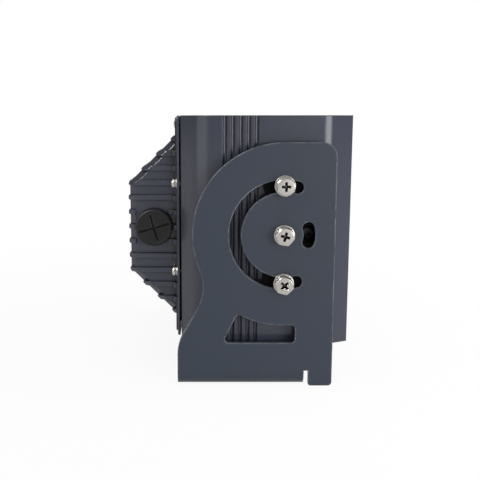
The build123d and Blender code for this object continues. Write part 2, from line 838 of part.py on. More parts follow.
with BuildPart() as gland_nut:
    with BuildSketch(gland_plane.offset(gland_nut_y)):
        RegularPolygon(gland_hex / 2, 6, major_radius=False, rotation=hex_flat_turn)
    extrude(amount=gland_nut_length / 2)
    with BuildSketch(gland_plane.offset(gland_nut_y + gland_nut_length / 2)):
        Circle(gland_hex / 2)
    extrude(amount=gland_nut_length / 2)
    chamfer(
        gland_nut.edges().filter_by(GeomType.CIRCLE).group_by(Axis.Y)[-1],
        gland_nut_taper,
        gland_hex / 2 - gland_nut_tip_r,
    )
    with BuildSketch(gland_plane.offset(gland_nut_y)):
        Circle(gland_neck_r + fit_gap)
    extrude(amount=gland_neck_h + fit_gap, mode=Mode.SUBTRACT)
    with BuildSketch(gland_plane.offset(gland_nut_y)):
        Circle(gland_mouth_r)
    extrude(amount=gland_nut_length, mode=Mode.SUBTRACT)

gland_nut.part.label = "gland_nut"
export_step(gland_nut.part, "parts/gland_nut.step")

with BuildPart() as gland_insert:
    with BuildSketch(gland_neck_top):
        Circle(gland_insert_r)
        Circle(cable_r, mode=Mode.SUBTRACT)
    extrude(amount=-gland_hex_h - gland_neck_h)

gland_insert.part.label = "gland_insert"
export_step(gland_insert.part, "parts/gland_insert.step")

with BuildPart() as gland_seal:
    with BuildSketch(side_plane(1, entry_x, entry_face, pivot_z)):
        Circle(entry_boss_r)
        Circle(entry_thread_r + slide_gap, mode=Mode.SUBTRACT)
    extrude(amount=seal_t)

gland_seal.part.label = "gland_seal"
export_step(gland_seal.part, "parts/gland_seal.step")

with BuildPart() as gland_locknut:
    with BuildSketch(side_plane(1, entry_x, cover_half - cover_wall, pivot_z)):
        RegularPolygon(locknut_hex / 2, 6, major_radius=False, rotation=hex_flat_turn)
        Circle(entry_thread_r + slide_gap, mode=Mode.SUBTRACT)
    extrude(amount=-locknut_t)

gland_locknut.part.label = "gland_locknut"
export_step(gland_locknut.part, "parts/gland_locknut.step")

# Front glass between its gasket and the bezel
with BuildPart() as glass_gasket:
    with BuildSketch(Plane.YZ.offset(ledge_x)):
        with Locations((0, pivot_z)):
            RectangleRounded(2 * glass_half, 2 * glass_half_height, glass_corner_r)
            RectangleRounded(
                2 * chamber_half, 2 * chamber_half_height, chamber_corner_r, mode=Mode.SUBTRACT
            )
    extrude(amount=glass_gasket_t)

glass_gasket.part.label = "glass_gasket"
export_step(glass_gasket.part, "parts/glass_gasket.step")

with BuildPart() as front_glass:
    with BuildSketch(Plane.YZ.offset(glass_seat_x)):
        with Locations((0, pivot_z)):
            RectangleRounded(2 * glass_half, 2 * glass_half_height, glass_corner_r)
    extrude(amount=glass_t)

front_glass.part.label = "front_glass"
export_step(front_glass.part, "parts/front_glass.step")

bezel_head_x = bezel_seat_x + bezel_t - bezel_screw_sink
with BuildPart() as front_bezel:
    with BuildSketch(Plane.YZ.offset(bezel_seat_x)):
        with Locations((0, pivot_z)):
            RectangleRounded(2 * bezel_half, 2 * bezel_half_height, bezel_corner_r)
            RectangleRounded(
                2 * chamber_half, 2 * chamber_half_height, chamber_corner_r, mode=Mode.SUBTRACT
            )
    extrude(amount=bezel_t)
    front_edges = front_bezel.faces().sort_by(Axis.X)[-1].inner_wires()[0].edges()
    chamfer(front_edges, bezel_bevel)
    with BuildSketch(Plane.YZ.offset(bezel_seat_x)):
        with Locations(*bezel_screw_places):
            Circle(m3_r + bolt_play)
    extrude(amount=bezel_t, mode=Mode.SUBTRACT)
    with BuildSketch(Plane.YZ.offset(bezel_head_x)):
        with Locations(*bezel_screw_places):
            Circle(m3_head_r + bolt_play)
    extrude(amount=bezel_screw_sink, mode=Mode.SUBTRACT)

front_bezel.part.label = "front_bezel"
export_step(front_bezel.part, "parts/front_bezel.step")

with BuildPart() as bezel_screws:
    with Locations(*[front_plane(bezel_head_x, y, z) for y, z in bezel_screw_places]):
        add(pan_screw(m3_head_r, m3_head_h, m3_r, bezel_screw_length))

bezel_screws.part.label = "bezel_screws"
export_step(bezel_screws.part, "parts/bezel_screws.step")

# LED board, its emitters and connector, and the lens plate over them
board_front_x = led_seat_x + board_t
with BuildPart() as led_board:
    with BuildSketch(Plane.YZ.offset(led_seat_x)):
        with Locations((0, pivot_z)):
            RectangleRounded(2 * board_half, 2 * board_half_height, board_corner_r)
        with Locations(duct_place):
            Circle(duct_bore_r, mode=Mode.SUBTRACT)
        with Locations(*lens_screw_places):
            Circle(m3_r + bolt_play, mode=Mode.SUBTRACT)
    extrude(amount=board_t)

led_board.part.label = "led_board"
export_step(led_board.part, "parts/led_board.step")

lens_middle = front_plane(board_front_x, 0, pivot_z)
with BuildPart() as led_emitters:
    with BuildSketch(lens_middle):
        with GridLocations(lens_pitch, lens_pitch, lens_columns, lens_rows):
            Rectangle(emitter_size, emitter_size)
    extrude(amount=emitter_h)

led_emitters.part.label = "led_emitters"
export_step(led_emitters.part, "parts/led_emitters.step")

with BuildPart() as board_connector:
    with BuildSketch(Plane.YZ.offset(board_front_x)):
        with Locations((connector_y, pivot_z + duct_z)):
            Rectangle(connector_size, connector_w, align=(Align.MIN, Align.CENTER))
    extrude(amount=connector_h)

board_connector.part.label = "board_connector"
export_step(board_connector.part, "parts/board_connector.step")

lens_plate_half = lens_pitch * lens_columns / 2 + lens_plate_margin
lens_plate_half_height = lens_pitch * lens_rows / 2 + lens_plate_margin
lens_top_x = board_front_x + lens_lift + lens_plate_t
with BuildPart() as lens_dome:
    with BuildSketch(Plane.XZ):
        with Locations((0, lens_cap_h - lens_cap_r)):
            Circle(lens_cap_r)
        Rectangle(lens_cap_r, lens_cap_r, align=(Align.MIN, Align.MIN), mode=Mode.INTERSECT)
    revolve(axis=Axis.Z)

with BuildPart() as lens_plate:
    with BuildSketch(lens_middle):
        RectangleRounded(2 * lens_plate_half, 2 * lens_plate_half_height, board_corner_r)
    extrude(amount=lens_lift + lens_plate_t)
    with BuildSketch(lens_middle):
        RectangleRounded(
            2 * (lens_plate_half - lens_rim),
            2 * (lens_plate_half_height - lens_rim),
            board_corner_r / 2,
        )
    extrude(amount=lens_lift, mode=Mode.SUBTRACT)
    with Locations(front_plane(lens_top_x, 0, pivot_z)):
        with GridLocations(lens_pitch, lens_pitch, lens_columns, lens_rows):
            add(lens_dome.part)
    with BuildSketch(Plane.YZ.offset(board_front_x)):
        with Locations(*lens_screw_places):
            Circle(lens_post_r)
    extrude(amount=lens_lift)
    with BuildSketch(Plane.YZ.offset(board_front_x)):
        with Locations(*lens_screw_places):
            Circle(m3_r + bolt_play)
    extrude(amount=lens_lift + lens_plate_t, mode=Mode.SUBTRACT)

lens_plate.part.label = "lens_plate"
export_step(lens_plate.part, "parts/lens_plate.step")

with BuildPart() as lens_screws:
    with Locations(*[front_plane(lens_top_x, y, z) for y, z in lens_screw_places]):
        add(pan_screw(m3_head_r, m3_head_h, m3_r, lens_screw_length))

lens_screws.part.label = "lens_screws"
export_step(lens_screws.part, "parts/lens_screws.step")

# Driver case on the body's rear wall, inside the cover
driver_length = driver_front_y - driver_rear_y
driver_middle = (driver_front_y + driver_rear_y) / 2
with BuildPart() as driver_case:
    with BuildSketch(Plane.YZ.offset(rear_x)):
        with Locations((driver_middle, pivot_z)):
            Rectangle(driver_length, 2 * driver_half_height)
    extrude(amount=-driver_h)
    fillet(driver_case.edges().group_by(Axis.X)[0], driver_round)
    with BuildSketch(Plane.YZ.offset(rear_x)):
        with Locations((driver_middle, pivot_z)):
            Rectangle(driver_length + 2 * driver_foot, 2 * driver_foot_half_height)
        with Locations(*driver_screw_places):
            Circle(m4_r + bolt_play, mode=Mode.SUBTRACT)
    extrude(amount=-driver_foot_t)

driver_case.part.label = "driver_case"
export_step(driver_case.part, "parts/driver_case.step")

with BuildPart() as driver_screws:
    with Locations(*[rear_plane(rear_x - driver_foot_t, y, z) for y, z in driver_screw_places]):
        add(pan_screw(m4_head_r - fit_gap, m4_head_h, m4_r, driver_screw_length))

driver_screws.part.label = "driver_screws"
export_step(driver_screws.part, "parts/driver_screws.step")

# Terminal block above the driver, with a screw for each lead
terminal_middle_z = pivot_z + terminal_z + terminal_height / 2
terminal_leads_y = [terminal_y + k * terminal_pitch for k in (-1, 0, 1)]
terminal_places = [(y, terminal_middle_z) for y in terminal_leads_y]
terminal_top_x = rear_x - terminal_depth
terminal_well_x = terminal_top_x + terminal_well_depth
with BuildPart() as terminal_block:
    with BuildSketch(Plane.YZ.offset(rear_x)):
        with Locations((terminal_y, terminal_middle_z)):
            Rectangle(terminal_length, terminal_height)
    extrude(amount=-terminal_depth)
    chamfer(terminal_block.edges().group_by(Axis.X)[0], terminal_bevel)
    with BuildSketch(Plane.YZ.offset(terminal_well_x)):
        with Locations(*terminal_places):
            Circle(terminal_well_r)
    extrude(amount=-terminal_well_depth, mode=Mode.SUBTRACT)

terminal_block.part.label = "terminal_block"
export_step(terminal_block.part, "parts/terminal_block.step")

with BuildPart() as terminal_screws:
    with BuildSketch(Plane.YZ.offset(terminal_well_x)):
        with Locations(*terminal_places):
            Circle(terminal_screw_r)
    extrude(amount=-terminal_screw_h)
    with BuildSketch(Plane.YZ.offset(terminal_well_x - terminal_screw_h)):
        with Locations(*terminal_places):
            Rectangle(2 * terminal_screw_r, terminal_notch_w)
    extrude(amount=terminal_notch_depth, mode=Mode.SUBTRACT)

terminal_screws.part.label = "terminal_screws"
export_step(terminal_screws.part, "parts/terminal_screws.step")

# Mains leads drop straight from the terminals into the driver
with BuildPart() as mains_leads:
    with BuildSketch(Plane.XY.offset(pivot_z + driver_half_height)):
        with Locations(*[(rear_x - terminal_depth / 2, y) for y in terminal_leads_y]):
            Circle(lead_r)
    extrude(amount=terminal_z - driver_half_height)

mains_leads.part.label = "mains_leads"
export_step(mains_leads.part, "parts/mains_leads.step")

# Direct current leads: up from the driver, through the duct, then across to the connector
lead_x = rear_x - lead_duct_clear
driver_top = pivot_z + driver_half_height
lead_z = pivot_z + duct_z
with BuildPart() as dc_leads:
    for y, turn in ((-lead_half_gap, lead_second_turn), (lead_half_gap, lead_first_turn)):
        turn_x = board_front_x + turn - lead_r
        with BuildLine():
            FilletPolyline(
                (lead_x, y, driver_top),
                (lead_x, y, lead_z),
                (turn_x, y, lead_z),
                (turn_x, connector_y, lead_z),
                radius=[lead_bend_r, lead_tip_bend_r],
            )
        with BuildSketch(Plane.XY.offset(driver_top)):
            with Locations((lead_x, y)):
                Circle(lead_r)
        sweep()

dc_leads.part.label = "dc_leads"
export_step(dc_leads.part, "parts/dc_leads.step")

# Spacer discs between body and cheek, one on each clamp bolt
bolt_marks = [(side, x, z) for side in (-1, 1) for x, z in bolt_places]
clamp_marks = [(side, pivot_x, pivot_z + sz * lock_r) for side in (-1, 1) for sz in (-1, 1)]
with BuildPart() as spacer_discs:
    with Locations(*[side_plane(side, x, body_half, z) for side, x, z in clamp_marks]):
        add(ring(spacer_r, bolt_r + slide_gap, spacer_t))

spacer_discs.part.label = "spacer_discs"
export_step(spacer_discs.part, "parts/spacer_discs.step")

# The pivot's spacer is longer: it also backs the spare slot, where its hole is stepped
with BuildPart() as pivot_spacers:
    for side in (-1, 1):
        spacer_face = side_plane(side, pivot_x, body_half + spacer_t, pivot_z)
        with BuildSketch(spacer_face):
            with Locations((-side * spare_r / 2, 0)):
                SlotCenterToCenter(spare_r, 2 * spacer_r)
            Circle(bolt_r + slide_gap, mode=Mode.SUBTRACT)
        extrude(amount=-spacer_t)
        for k, step_r in enumerate(spare_step_r):
            with BuildSketch(spacer_face):
                with Locations((-side * spare_r, 0)):
                    Circle(step_r)
            extrude(amount=-(k + 1) * spare_step_depth, mode=Mode.SUBTRACT)
        with BuildSketch(spacer_face):
            with Locations((-side * spare_r, 0)):
                Circle(tap_r)
        extrude(amount=-spacer_t, mode=Mode.SUBTRACT)

pivot_spacers.part.label = "pivot_spacers"
export_step(pivot_spacers.part, "parts/pivot_spacers.step")

# Washers and bolts outside each cheek
washer_y = cheek_outer + slide_gap
with BuildPart() as bolt_flat_washers:
    with Locations(*[side_plane(side, x, washer_y, z) for side, x, z in bolt_marks]):
        add(ring(flat_washer_r, bolt_r + slide_gap, flat_washer_t))

bolt_flat_washers.part.label = "bolt_flat_washers"
export_step(bolt_flat_washers.part, "parts/bolt_flat_washers.step")

spring_y = washer_y + flat_washer_t
with BuildPart() as bolt_spring_washers:
    with Locations(*[side_plane(side, x, spring_y, z) for side, x, z in bolt_marks]):
        add(spring_ring(spring_washer_r, bolt_r + slide_gap, spring_washer_t))

bolt_spring_washers.part.label = "bolt_spring_washers"
export_step(bolt_spring_washers.part, "parts/bolt_spring_washers.step")

head_y = spring_y + spring_washer_t
with BuildPart() as pivot_bolts:
    with Locations(*[side_plane(side, pivot_x, head_y, pivot_z) for side in (-1, 1)]):
        add(hex_bolt(pivot_hex_turn, pivot_cross_turn))

pivot_bolts.part.label = "pivot_bolts"
export_step(pivot_bolts.part, "parts/pivot_bolts.step")

with BuildPart() as clamp_bolts:
    with Locations(*[side_plane(side, pivot_x, head_y, pivot_z + lock_r) for side in (-1, 1)]):
        add(hex_bolt(upper_hex_turn, upper_cross_turn))
    with Locations(*[side_plane(side, pivot_x, head_y, pivot_z - lock_r) for side in (-1, 1)]):
        add(hex_bolt(lower_hex_turn, lower_cross_turn))

clamp_bolts.part.label = "clamp_bolts"
export_step(clamp_bolts.part, "parts/clamp_bolts.step")
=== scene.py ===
import json
import math
import bmesh
import bpy
from mathutils import Matrix, Vector


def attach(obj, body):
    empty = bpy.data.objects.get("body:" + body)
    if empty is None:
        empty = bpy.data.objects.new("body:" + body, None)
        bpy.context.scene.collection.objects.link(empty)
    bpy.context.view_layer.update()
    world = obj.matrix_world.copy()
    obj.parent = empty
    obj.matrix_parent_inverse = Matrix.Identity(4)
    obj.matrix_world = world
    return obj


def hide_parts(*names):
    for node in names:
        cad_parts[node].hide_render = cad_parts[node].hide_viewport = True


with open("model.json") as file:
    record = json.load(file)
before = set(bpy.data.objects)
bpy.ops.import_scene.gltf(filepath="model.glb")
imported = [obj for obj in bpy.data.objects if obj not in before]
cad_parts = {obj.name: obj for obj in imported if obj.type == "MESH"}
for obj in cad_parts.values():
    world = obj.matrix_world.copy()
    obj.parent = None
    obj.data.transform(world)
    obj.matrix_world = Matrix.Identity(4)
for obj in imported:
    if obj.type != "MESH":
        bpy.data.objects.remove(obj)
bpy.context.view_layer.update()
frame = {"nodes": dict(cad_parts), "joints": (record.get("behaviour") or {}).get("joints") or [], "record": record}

# LED flood light on a U-shaped bracket, dressed for its picture.
# Metres throughout. X is the way the light shines, Y goes across, Z is up.

nodes = frame["nodes"]
pivot = Vector(frame["joints"][0]["pos_m"])


# Nothing selected, and object mode
def clearSelection():
    if bpy.context.mode != "OBJECT":
        bpy.ops.object.mode_set(mode="OBJECT")
    bpy.ops.object.select_all(action="DESELECT")


def makeActive(piece):
    clearSelection()
    piece.select_set(True)
    bpy.context.view_layer.objects.active = piece


# Leaves edit mode with only the faces selected that pass the test
def selectFaces(piece, passes):
    bpy.ops.object.mode_set(mode="OBJECT")
    for part in (piece.data.vertices, piece.data.edges, piece.data.polygons):
        for item in part:
            item.select = False
    for face in piece.data.polygons:
        face.select = passes(face)
    bpy.ops.object.mode_set(mode="EDIT")
    bpy.ops.mesh.select_mode(type="FACE")


def applyModifiers(piece):
    makeActive(piece)
    for modifier in list(piece.modifiers):
        bpy.ops.object.modifier_apply(modifier=modifier.name)


# Cuts, joins or keeps the overlap of two pieces, and removes the second
def combine(piece, other, operation):
    modifier = piece.modifiers.new("combine", "BOOLEAN")
    modifier.object = other
    modifier.operation = operation
    modifier.solver = "EXACT"
    applyModifiers(piece)
    bpy.data.objects.remove(other)


# Shades a piece smooth except where faces meet at more than the angle
def smoothBelow(piece, sharpAngle):
    makeActive(piece)
    bpy.ops.object.shade_smooth_by_angle(angle=math.radians(sharpAngle))


# Rounds the edges that are sharper than the angle and shades the piece smooth between them
def softenEdges(piece, width, segments, sharpAngle):
    bevel = piece.modifiers.new("soften", "BEVEL")
    bevel.width = width
    bevel.segments = segments
    bevel.limit_method = "ANGLE"
    bevel.angle_limit = math.radians(sharpAngle)
    bevel.use_clamp_overlap = True
    applyModifiers(piece)
    smoothBelow(piece, sharpAngle)


# Puts a piece that was made upright at the origin where the plane says, and bakes its place into its mesh
def standOn(piece, origin, xAxis, zAxis):
    yAxis = zAxis.cross(xAxis)
    turn = Matrix((xAxis, yAxis, zAxis)).transposed().to_4x4()
    piece.data.transform(Matrix.Translation(origin) @ turn)


def copyPiece(piece):
    twin = piece.copy()
    twin.data = piece.data.copy()
    bpy.context.scene.collection.objects.link(twin)
    return twin


def joinPieces(pieces):
    clearSelection()
    for piece in pieces:
        piece.select_set(True)
    bpy.context.view_layer.objects.active = pieces[0]
    if len(pieces) > 1:
        bpy.ops.object.join()
    return pieces[0]


# Names the piece, gives it its finish and its body, and hides the nodes it stands for
def finishPiece(piece, name, look, slotName, body, *stoodFor):
    piece.name = name
    piece.data.name = name
    piece.data.materials.clear()
    piece.data.materials.append(look)
    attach(piece, body)
    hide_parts(*stoodFor)


# Lowest and highest corner of each separate solid in a node, sorted by place
def solidBoxes(node):
    cloud = bmesh.new()
    cloud.from_mesh(nodes[node].data)
    bmesh.ops.remove_doubles(cloud, verts=cloud.verts, dist=1e-6)
    boxes = []
    seen = set()
    for start in cloud.verts:
        if start in seen:
            continue
        seen.add(start)
        island = []
        waiting = [start]
        while waiting:
            vertex = waiting.pop()
            island.append(vertex.co.copy())
            for edge in vertex.link_edges:
                other = edge.other_vert(vertex)
                if other not in seen:
                    seen.add(other)
                    waiting.append(other)
        low = Vector([min(point[k] for point in island) for k in range(3)])
        high = Vector([max(point[k] for point in island) for k in range(3)])
        boxes.append((low, high))
    cloud.free()
    return sorted(boxes, key=lambda pair: tuple(round(value, 4) for value in pair[0]))


# Shader helpers
def newLook(name):
    look = bpy.data.materials.new(name)
    look.use_nodes = True
    return look, look.node_tree, look.node_tree.nodes["Principled BSDF"]


def addNode(tree, kind, **values):
    node = tree.nodes.new(kind)
    for key, value in values.items():
        setattr(node, key, value)
    return node


def setInputs(node, **values):
    for key, value in values.items():
        node.inputs[key.replace("_", " ")].default_value = value


def wire(tree, source, target):
    tree.links.new(source, target)


def newGroup(name, inputs, outputs):
    group = bpy.data.node_groups.new(name, "ShaderNodeTree")
    for label, default in inputs.items():
        socket = group.interface.new_socket(name=label, in_out="INPUT", socket_type="NodeSocketFloat")
        socket.default_value = default
    for label, kind in outputs.items():
        group.interface.new_socket(name=label, in_out="OUTPUT", socket_type=kind)
    return group, group.nodes.new("NodeGroupInput"), group.nodes.new("NodeGroupOutput")


def placeGroup(tree, group, **values):
    node = tree.nodes.new("ShaderNodeGroup")
    node.node_tree = group
    for key, value in values.items():
        node.inputs[key].default_value = value
    return node


def rgba(color):
    return (*color, 1.0)


print("groups")
groupLook = {
    "bevelSamples": 4,
    "flatMeeting": 0.995,
    "sharpMeeting": 0.86,
    "spotDetail": 4.0,
    "spotRoughness": 0.65,
    "spotSpan": (0.35, 0.6),
    "fineDetail": 3.0,
    "fineRoughness": 0.55,
    "broadDetail": 5.0,
    "broadRoughness": 0.5,
    "patchDetail": 6.0,
    "patchRoughness": 0.7,
    "upwardSpan": (0.2, 0.95),
    "hollowSamples": 6,
    "cloudSpan": (0.3, 0.7),
}

# Edge wear and painted highlight: white where a sharp edge is near, broken up by noise, lightening edges as worn
# paint and as painted highlight lines
edgeWearAndHighlight, given, result = newGroup(
    "edgeWearAndHighlight",
    {"Radius": 0.0006, "Breakup": 160.0, "Amount": 0.6},
    {"Mask": "NodeSocketFloat", "Rounded": "NodeSocketVector"},
)
rounded = addNode(edgeWearAndHighlight, "ShaderNodeBevel", samples=groupLook["bevelSamples"])
flat = addNode(edgeWearAndHighlight, "ShaderNodeNewGeometry")
meeting = addNode(edgeWearAndHighlight, "ShaderNodeVectorMath", operation="DOT_PRODUCT")
ramp = addNode(edgeWearAndHighlight, "ShaderNodeMapRange")
setInputs(ramp, From_Min=groupLook["flatMeeting"], From_Max=groupLook["sharpMeeting"])
spots = addNode(edgeWearAndHighlight, "ShaderNodeTexNoise")
setInputs(spots, Detail=groupLook["spotDetail"], Roughness=groupLook["spotRoughness"])
place = addNode(edgeWearAndHighlight, "ShaderNodeTexCoord")
breakup = addNode(edgeWearAndHighlight, "ShaderNodeMapRange")
setInputs(breakup, From_Min=groupLook["spotSpan"][0], From_Max=groupLook["spotSpan"][1])
both = addNode(edgeWearAndHighlight, "ShaderNodeMath", operation="MULTIPLY")
share = addNode(edgeWearAndHighlight, "ShaderNodeMath", operation="MULTIPLY")
wire(edgeWearAndHighlight, given.outputs["Radius"], rounded.inputs["Radius"])
wire(edgeWearAndHighlight, rounded.outputs["Normal"], meeting.inputs[0])
wire(edgeWearAndHighlight, flat.outputs["Normal"], meeting.inputs[1])
wire(edgeWearAndHighlight, meeting.outputs["Value"], ramp.inputs["Value"])
wire(edgeWearAndHighlight, place.outputs["Object"], spots.inputs["Vector"])
wire(edgeWearAndHighlight, given.outputs["Breakup"], spots.inputs["Scale"])
wire(edgeWearAndHighlight, spots.outputs["Fac"], breakup.inputs["Value"])
wire(edgeWearAndHighlight, ramp.outputs["Result"], both.inputs[0])
wire(edgeWearAndHighlight, breakup.outputs["Result"], both.inputs[1])
wire(edgeWearAndHighlight, both.outputs["Value"], share.inputs[0])
wire(edgeWearAndHighlight, given.outputs["Amount"], share.inputs[1])
wire(edgeWearAndHighlight, share.outputs["Value"], result.inputs["Mask"])
wire(edgeWearAndHighlight, rounded.outputs["Normal"], result.inputs["Rounded"])

# Grain: a fine height for bumps and a broad cloud for tone, both on the piece's own coordinates
grain, given, result = newGroup(
    "grain",
    {"Fine Scale": 900.0, "Broad Scale": 14.0, "Stretch": 1.0},
    {"Height": "NodeSocketFloat", "Cloud": "NodeSocketFloat"},
)
place = addNode(grain, "ShaderNodeTexCoord")
stretch = addNode(grain, "ShaderNodeCombineXYZ")
setInputs(stretch, X=1.0, Z=1.0)
scaled = addNode(grain, "ShaderNodeVectorMath", operation="MULTIPLY")
fine = addNode(grain, "ShaderNodeTexNoise")
setInputs(fine, Detail=groupLook["fineDetail"], Roughness=groupLook["fineRoughness"])
broad = addNode(grain, "ShaderNodeTexNoise")
setInputs(broad, Detail=groupLook["broadDetail"], Roughness=groupLook["broadRoughness"])
wire(grain, given.outputs["Stretch"], stretch.inputs["Y"])
wire(grain, place.outputs["Object"], scaled.inputs[0])
wire(grain, stretch.outputs["Vector"], scaled.inputs[1])
wire(grain, scaled.outputs["Vector"], fine.inputs["Vector"])
wire(grain, place.outputs["Object"], broad.inputs["Vector"])
wire(grain, given.outputs["Fine Scale"], fine.inputs["Scale"])
wire(grain, given.outputs["Broad Scale"], broad.inputs["Scale"])
wire(grain, fine.outputs["Fac"], result.inputs["Height"])
wire(grain, broad.outputs["Fac"], result.inputs["Cloud"])

# Dust: lies where a surface faces up
dust, given, result = newGroup(
    "dust",
    {"Amount": 0.3, "Patch Scale": 45.0},
    {"Mask": "NodeSocketFloat"},
)
place = addNode(dust, "ShaderNodeTexCoord")
patches = addNode(dust, "ShaderNodeTexNoise")
setInputs(patches, Detail=groupLook["patchDetail"], Roughness=groupLook["patchRoughness"])
facing = addNode(dust, "ShaderNodeSeparateXYZ")
upward = addNode(dust, "ShaderNodeMapRange")
setInputs(upward, From_Min=groupLook["upwardSpan"][0], From_Max=groupLook["upwardSpan"][1])
both = addNode(dust, "ShaderNodeMath", operation="MULTIPLY")
share = addNode(dust, "ShaderNodeMath", operation="MULTIPLY")
wire(dust, place.outputs["Object"], patches.inputs["Vector"])
wire(dust, place.outputs["Normal"], facing.inputs["Vector"])
wire(dust, given.outputs["Patch Scale"], patches.inputs["Scale"])
wire(dust, facing.outputs["Z"], upward.inputs["Value"])
wire(dust, patches.outputs["Fac"], both.inputs[0])
wire(dust, upward.outputs["Result"], both.inputs[1])
wire(dust, both.outputs["Value"], share.inputs[0])
wire(dust, given.outputs["Amount"], share.inputs[1])
wire(dust, share.outputs["Value"], result.inputs["Mask"])

# Grime and painted shade: darkens where the piece's own shape is hollow, as ambient occlusion shades it
grimeAndShade, given, result = newGroup(
    "grimeAndShade",
    {"Distance": 0.002, "Open": 0.9, "Shut": 0.35, "Amount": 1.0},
    {"Mask": "NodeSocketFloat"},
)
hollow = addNode(grimeAndShade, "ShaderNodeAmbientOcclusion", samples=groupLook["hollowSamples"], only_local=True)
ramp = addNode(grimeAndShade, "ShaderNodeMapRange")
share = addNode(grimeAndShade, "ShaderNodeMath", operation="MULTIPLY")
wire(grimeAndShade, given.outputs["Distance"], hollow.inputs["Distance"])
wire(grimeAndShade, hollow.outputs["AO"], ramp.inputs["Value"])
wire(grimeAndShade, given.outputs["Open"], ramp.inputs["From Min"])
wire(grimeAndShade, given.outputs["Shut"], ramp.inputs["From Max"])
wire(grimeAndShade, ramp.outputs["Result"], share.inputs[0])
wire(grimeAndShade, given.outputs["Amount"], share.inputs[1])
wire(grimeAndShade, share.outputs["Value"], result.inputs["Mask"])


# Mixes two colours by a mask; each is a fixed colour or another node's output
def mixColors(tree, mask, first, second):
    mix = addNode(tree, "ShaderNodeMix", data_type="RGBA")
    wire(tree, mask, mix.inputs[0])
    for socket, color in ((mix.inputs[6], first), (mix.inputs[7], second)):
        if isinstance(color, tuple):
            socket.default_value = rgba(color)
        else:
            wire(tree, color, socket)
    return mix.outputs[2]


# Maps a cloud's usual span to a low and a high value
def spreadValue(tree, value, low, high):
    spread = addNode(tree, "ShaderNodeMapRange")
    start, end = groupLook["cloudSpan"]
    setInputs(spread, From_Min=start, From_Max=end, To_Min=low, To_Max=high)
    wire(tree, value, spread.inputs["Value"])
    return spread.outputs["Result"]


# Bumps the shader's normal, on top of the rounded edges where the edge wear and highlight group is given
def bumpNormal(tree, shader, height, strength, depth, wornAndHighlit=None):
    bump = addNode(tree, "ShaderNodeBump")
    setInputs(bump, Strength=strength, Distance=depth)
    wire(tree, height, bump.inputs["Height"])
    if wornAndHighlit:
        wire(tree, wornAndHighlit.outputs["Rounded"], bump.inputs["Normal"])
    wire(tree, bump.outputs["Normal"], shader.inputs["Normal"])


# Powder coat: a dark tone, a fine orange peel, edges lightened as rubbed paint and painted highlight, a little
# dust on top, and hollows darkened with painted shade and grime
def powderCoat(name, look):
    material, tree, shader = newLook(name)
    texture = placeGroup(tree, grain, **{"Fine Scale": look["peelScale"], "Broad Scale": look["cloudScale"]})
    wornAndHighlit = placeGroup(tree, edgeWearAndHighlight, Radius=look["edgeMarkRadius"], Amount=look["wearAndHighlightAmount"])
    film = placeGroup(tree, dust, Amount=look["dustAmount"])
    tone = mixColors(tree, texture.outputs["Cloud"], look["darkColor"], look["lightColor"])
    # Edges lightened by the worn colour: worn paint, and painted highlights where edges would catch the light
    rubbedAndHighlit = mixColors(tree, wornAndHighlit.outputs["Mask"], tone, look["wornAndHighlightColor"])
    dusty = mixColors(tree, film.outputs["Mask"], rubbedAndHighlit, look["dustColor"])
    # Hollows darkened: painted shade, with a little grime
    hollows = placeGroup(tree, grimeAndShade, Distance=look["grimeAndShadeDistance"], Amount=look["grimeAndShadeAmount"])
    grimyAndShaded = mixColors(tree, hollows.outputs["Mask"], dusty, look["grimeAndShadeColor"])
    wire(tree, grimyAndShaded, shader.inputs["Base Color"])
    shader.inputs["Specular IOR Level"].default_value = look["gloss"]
    wire(tree, spreadValue(tree, texture.outputs["Cloud"], *look["roughness"]), shader.inputs["Roughness"])
    bumpNormal(tree, shader, texture.outputs["Height"], look["peelStrength"], look["peelDepth"], wornAndHighlit)
    return material


# The bracket's worn colour paints the bright highlight lines along its outline
bracketLook = {
    "darkColor": (0.030, 0.040, 0.055),
    "lightColor": (0.037, 0.044, 0.062),
    "wornAndHighlightColor": (0.34, 0.35, 0.38),
    "grimeAndShadeColor": (0.012, 0.014, 0.018),
    "grimeAndShadeDistance": 0.003,
    "grimeAndShadeAmount": 0.6,
    "gloss": 0.24,
    "dustColor": (0.22, 0.22, 0.22),
    "roughness": (0.42, 0.36),
    "peelScale": 1100.0,
    "cloudScale": 11.0,
    "peelStrength": 0.25,
    "peelDepth": 0.00005,
    "edgeMarkRadius": 0.0014,
    "wearAndHighlightAmount": 1.0,
    "dustAmount": 0.12,
}
# The body's grime colour paints the shade in its flutes and in the slot; its worn colour adds faint edge lines as
# wear and painted highlight
bodyLook = {
    "darkColor": (0.037, 0.041, 0.060),
    "lightColor": (0.048, 0.052, 0.074),
    "wornAndHighlightColor": (0.17, 0.175, 0.20),
    "grimeAndShadeColor": (0.008, 0.009, 0.014),
    "grimeAndShadeDistance": 0.006,
    "grimeAndShadeAmount": 0.95,
    "gloss": 0.36,
    "dustColor": (0.22, 0.22, 0.22),
    "roughness": (0.20, 0.16),
    "peelScale": 900.0,
    "cloudScale": 9.0,
    "peelStrength": 0.12,
    "peelDepth": 0.00006,
    "edgeMarkRadius": 0.0012,
    "wearAndHighlightAmount": 0.2,
    "dustAmount": 0.12,
}


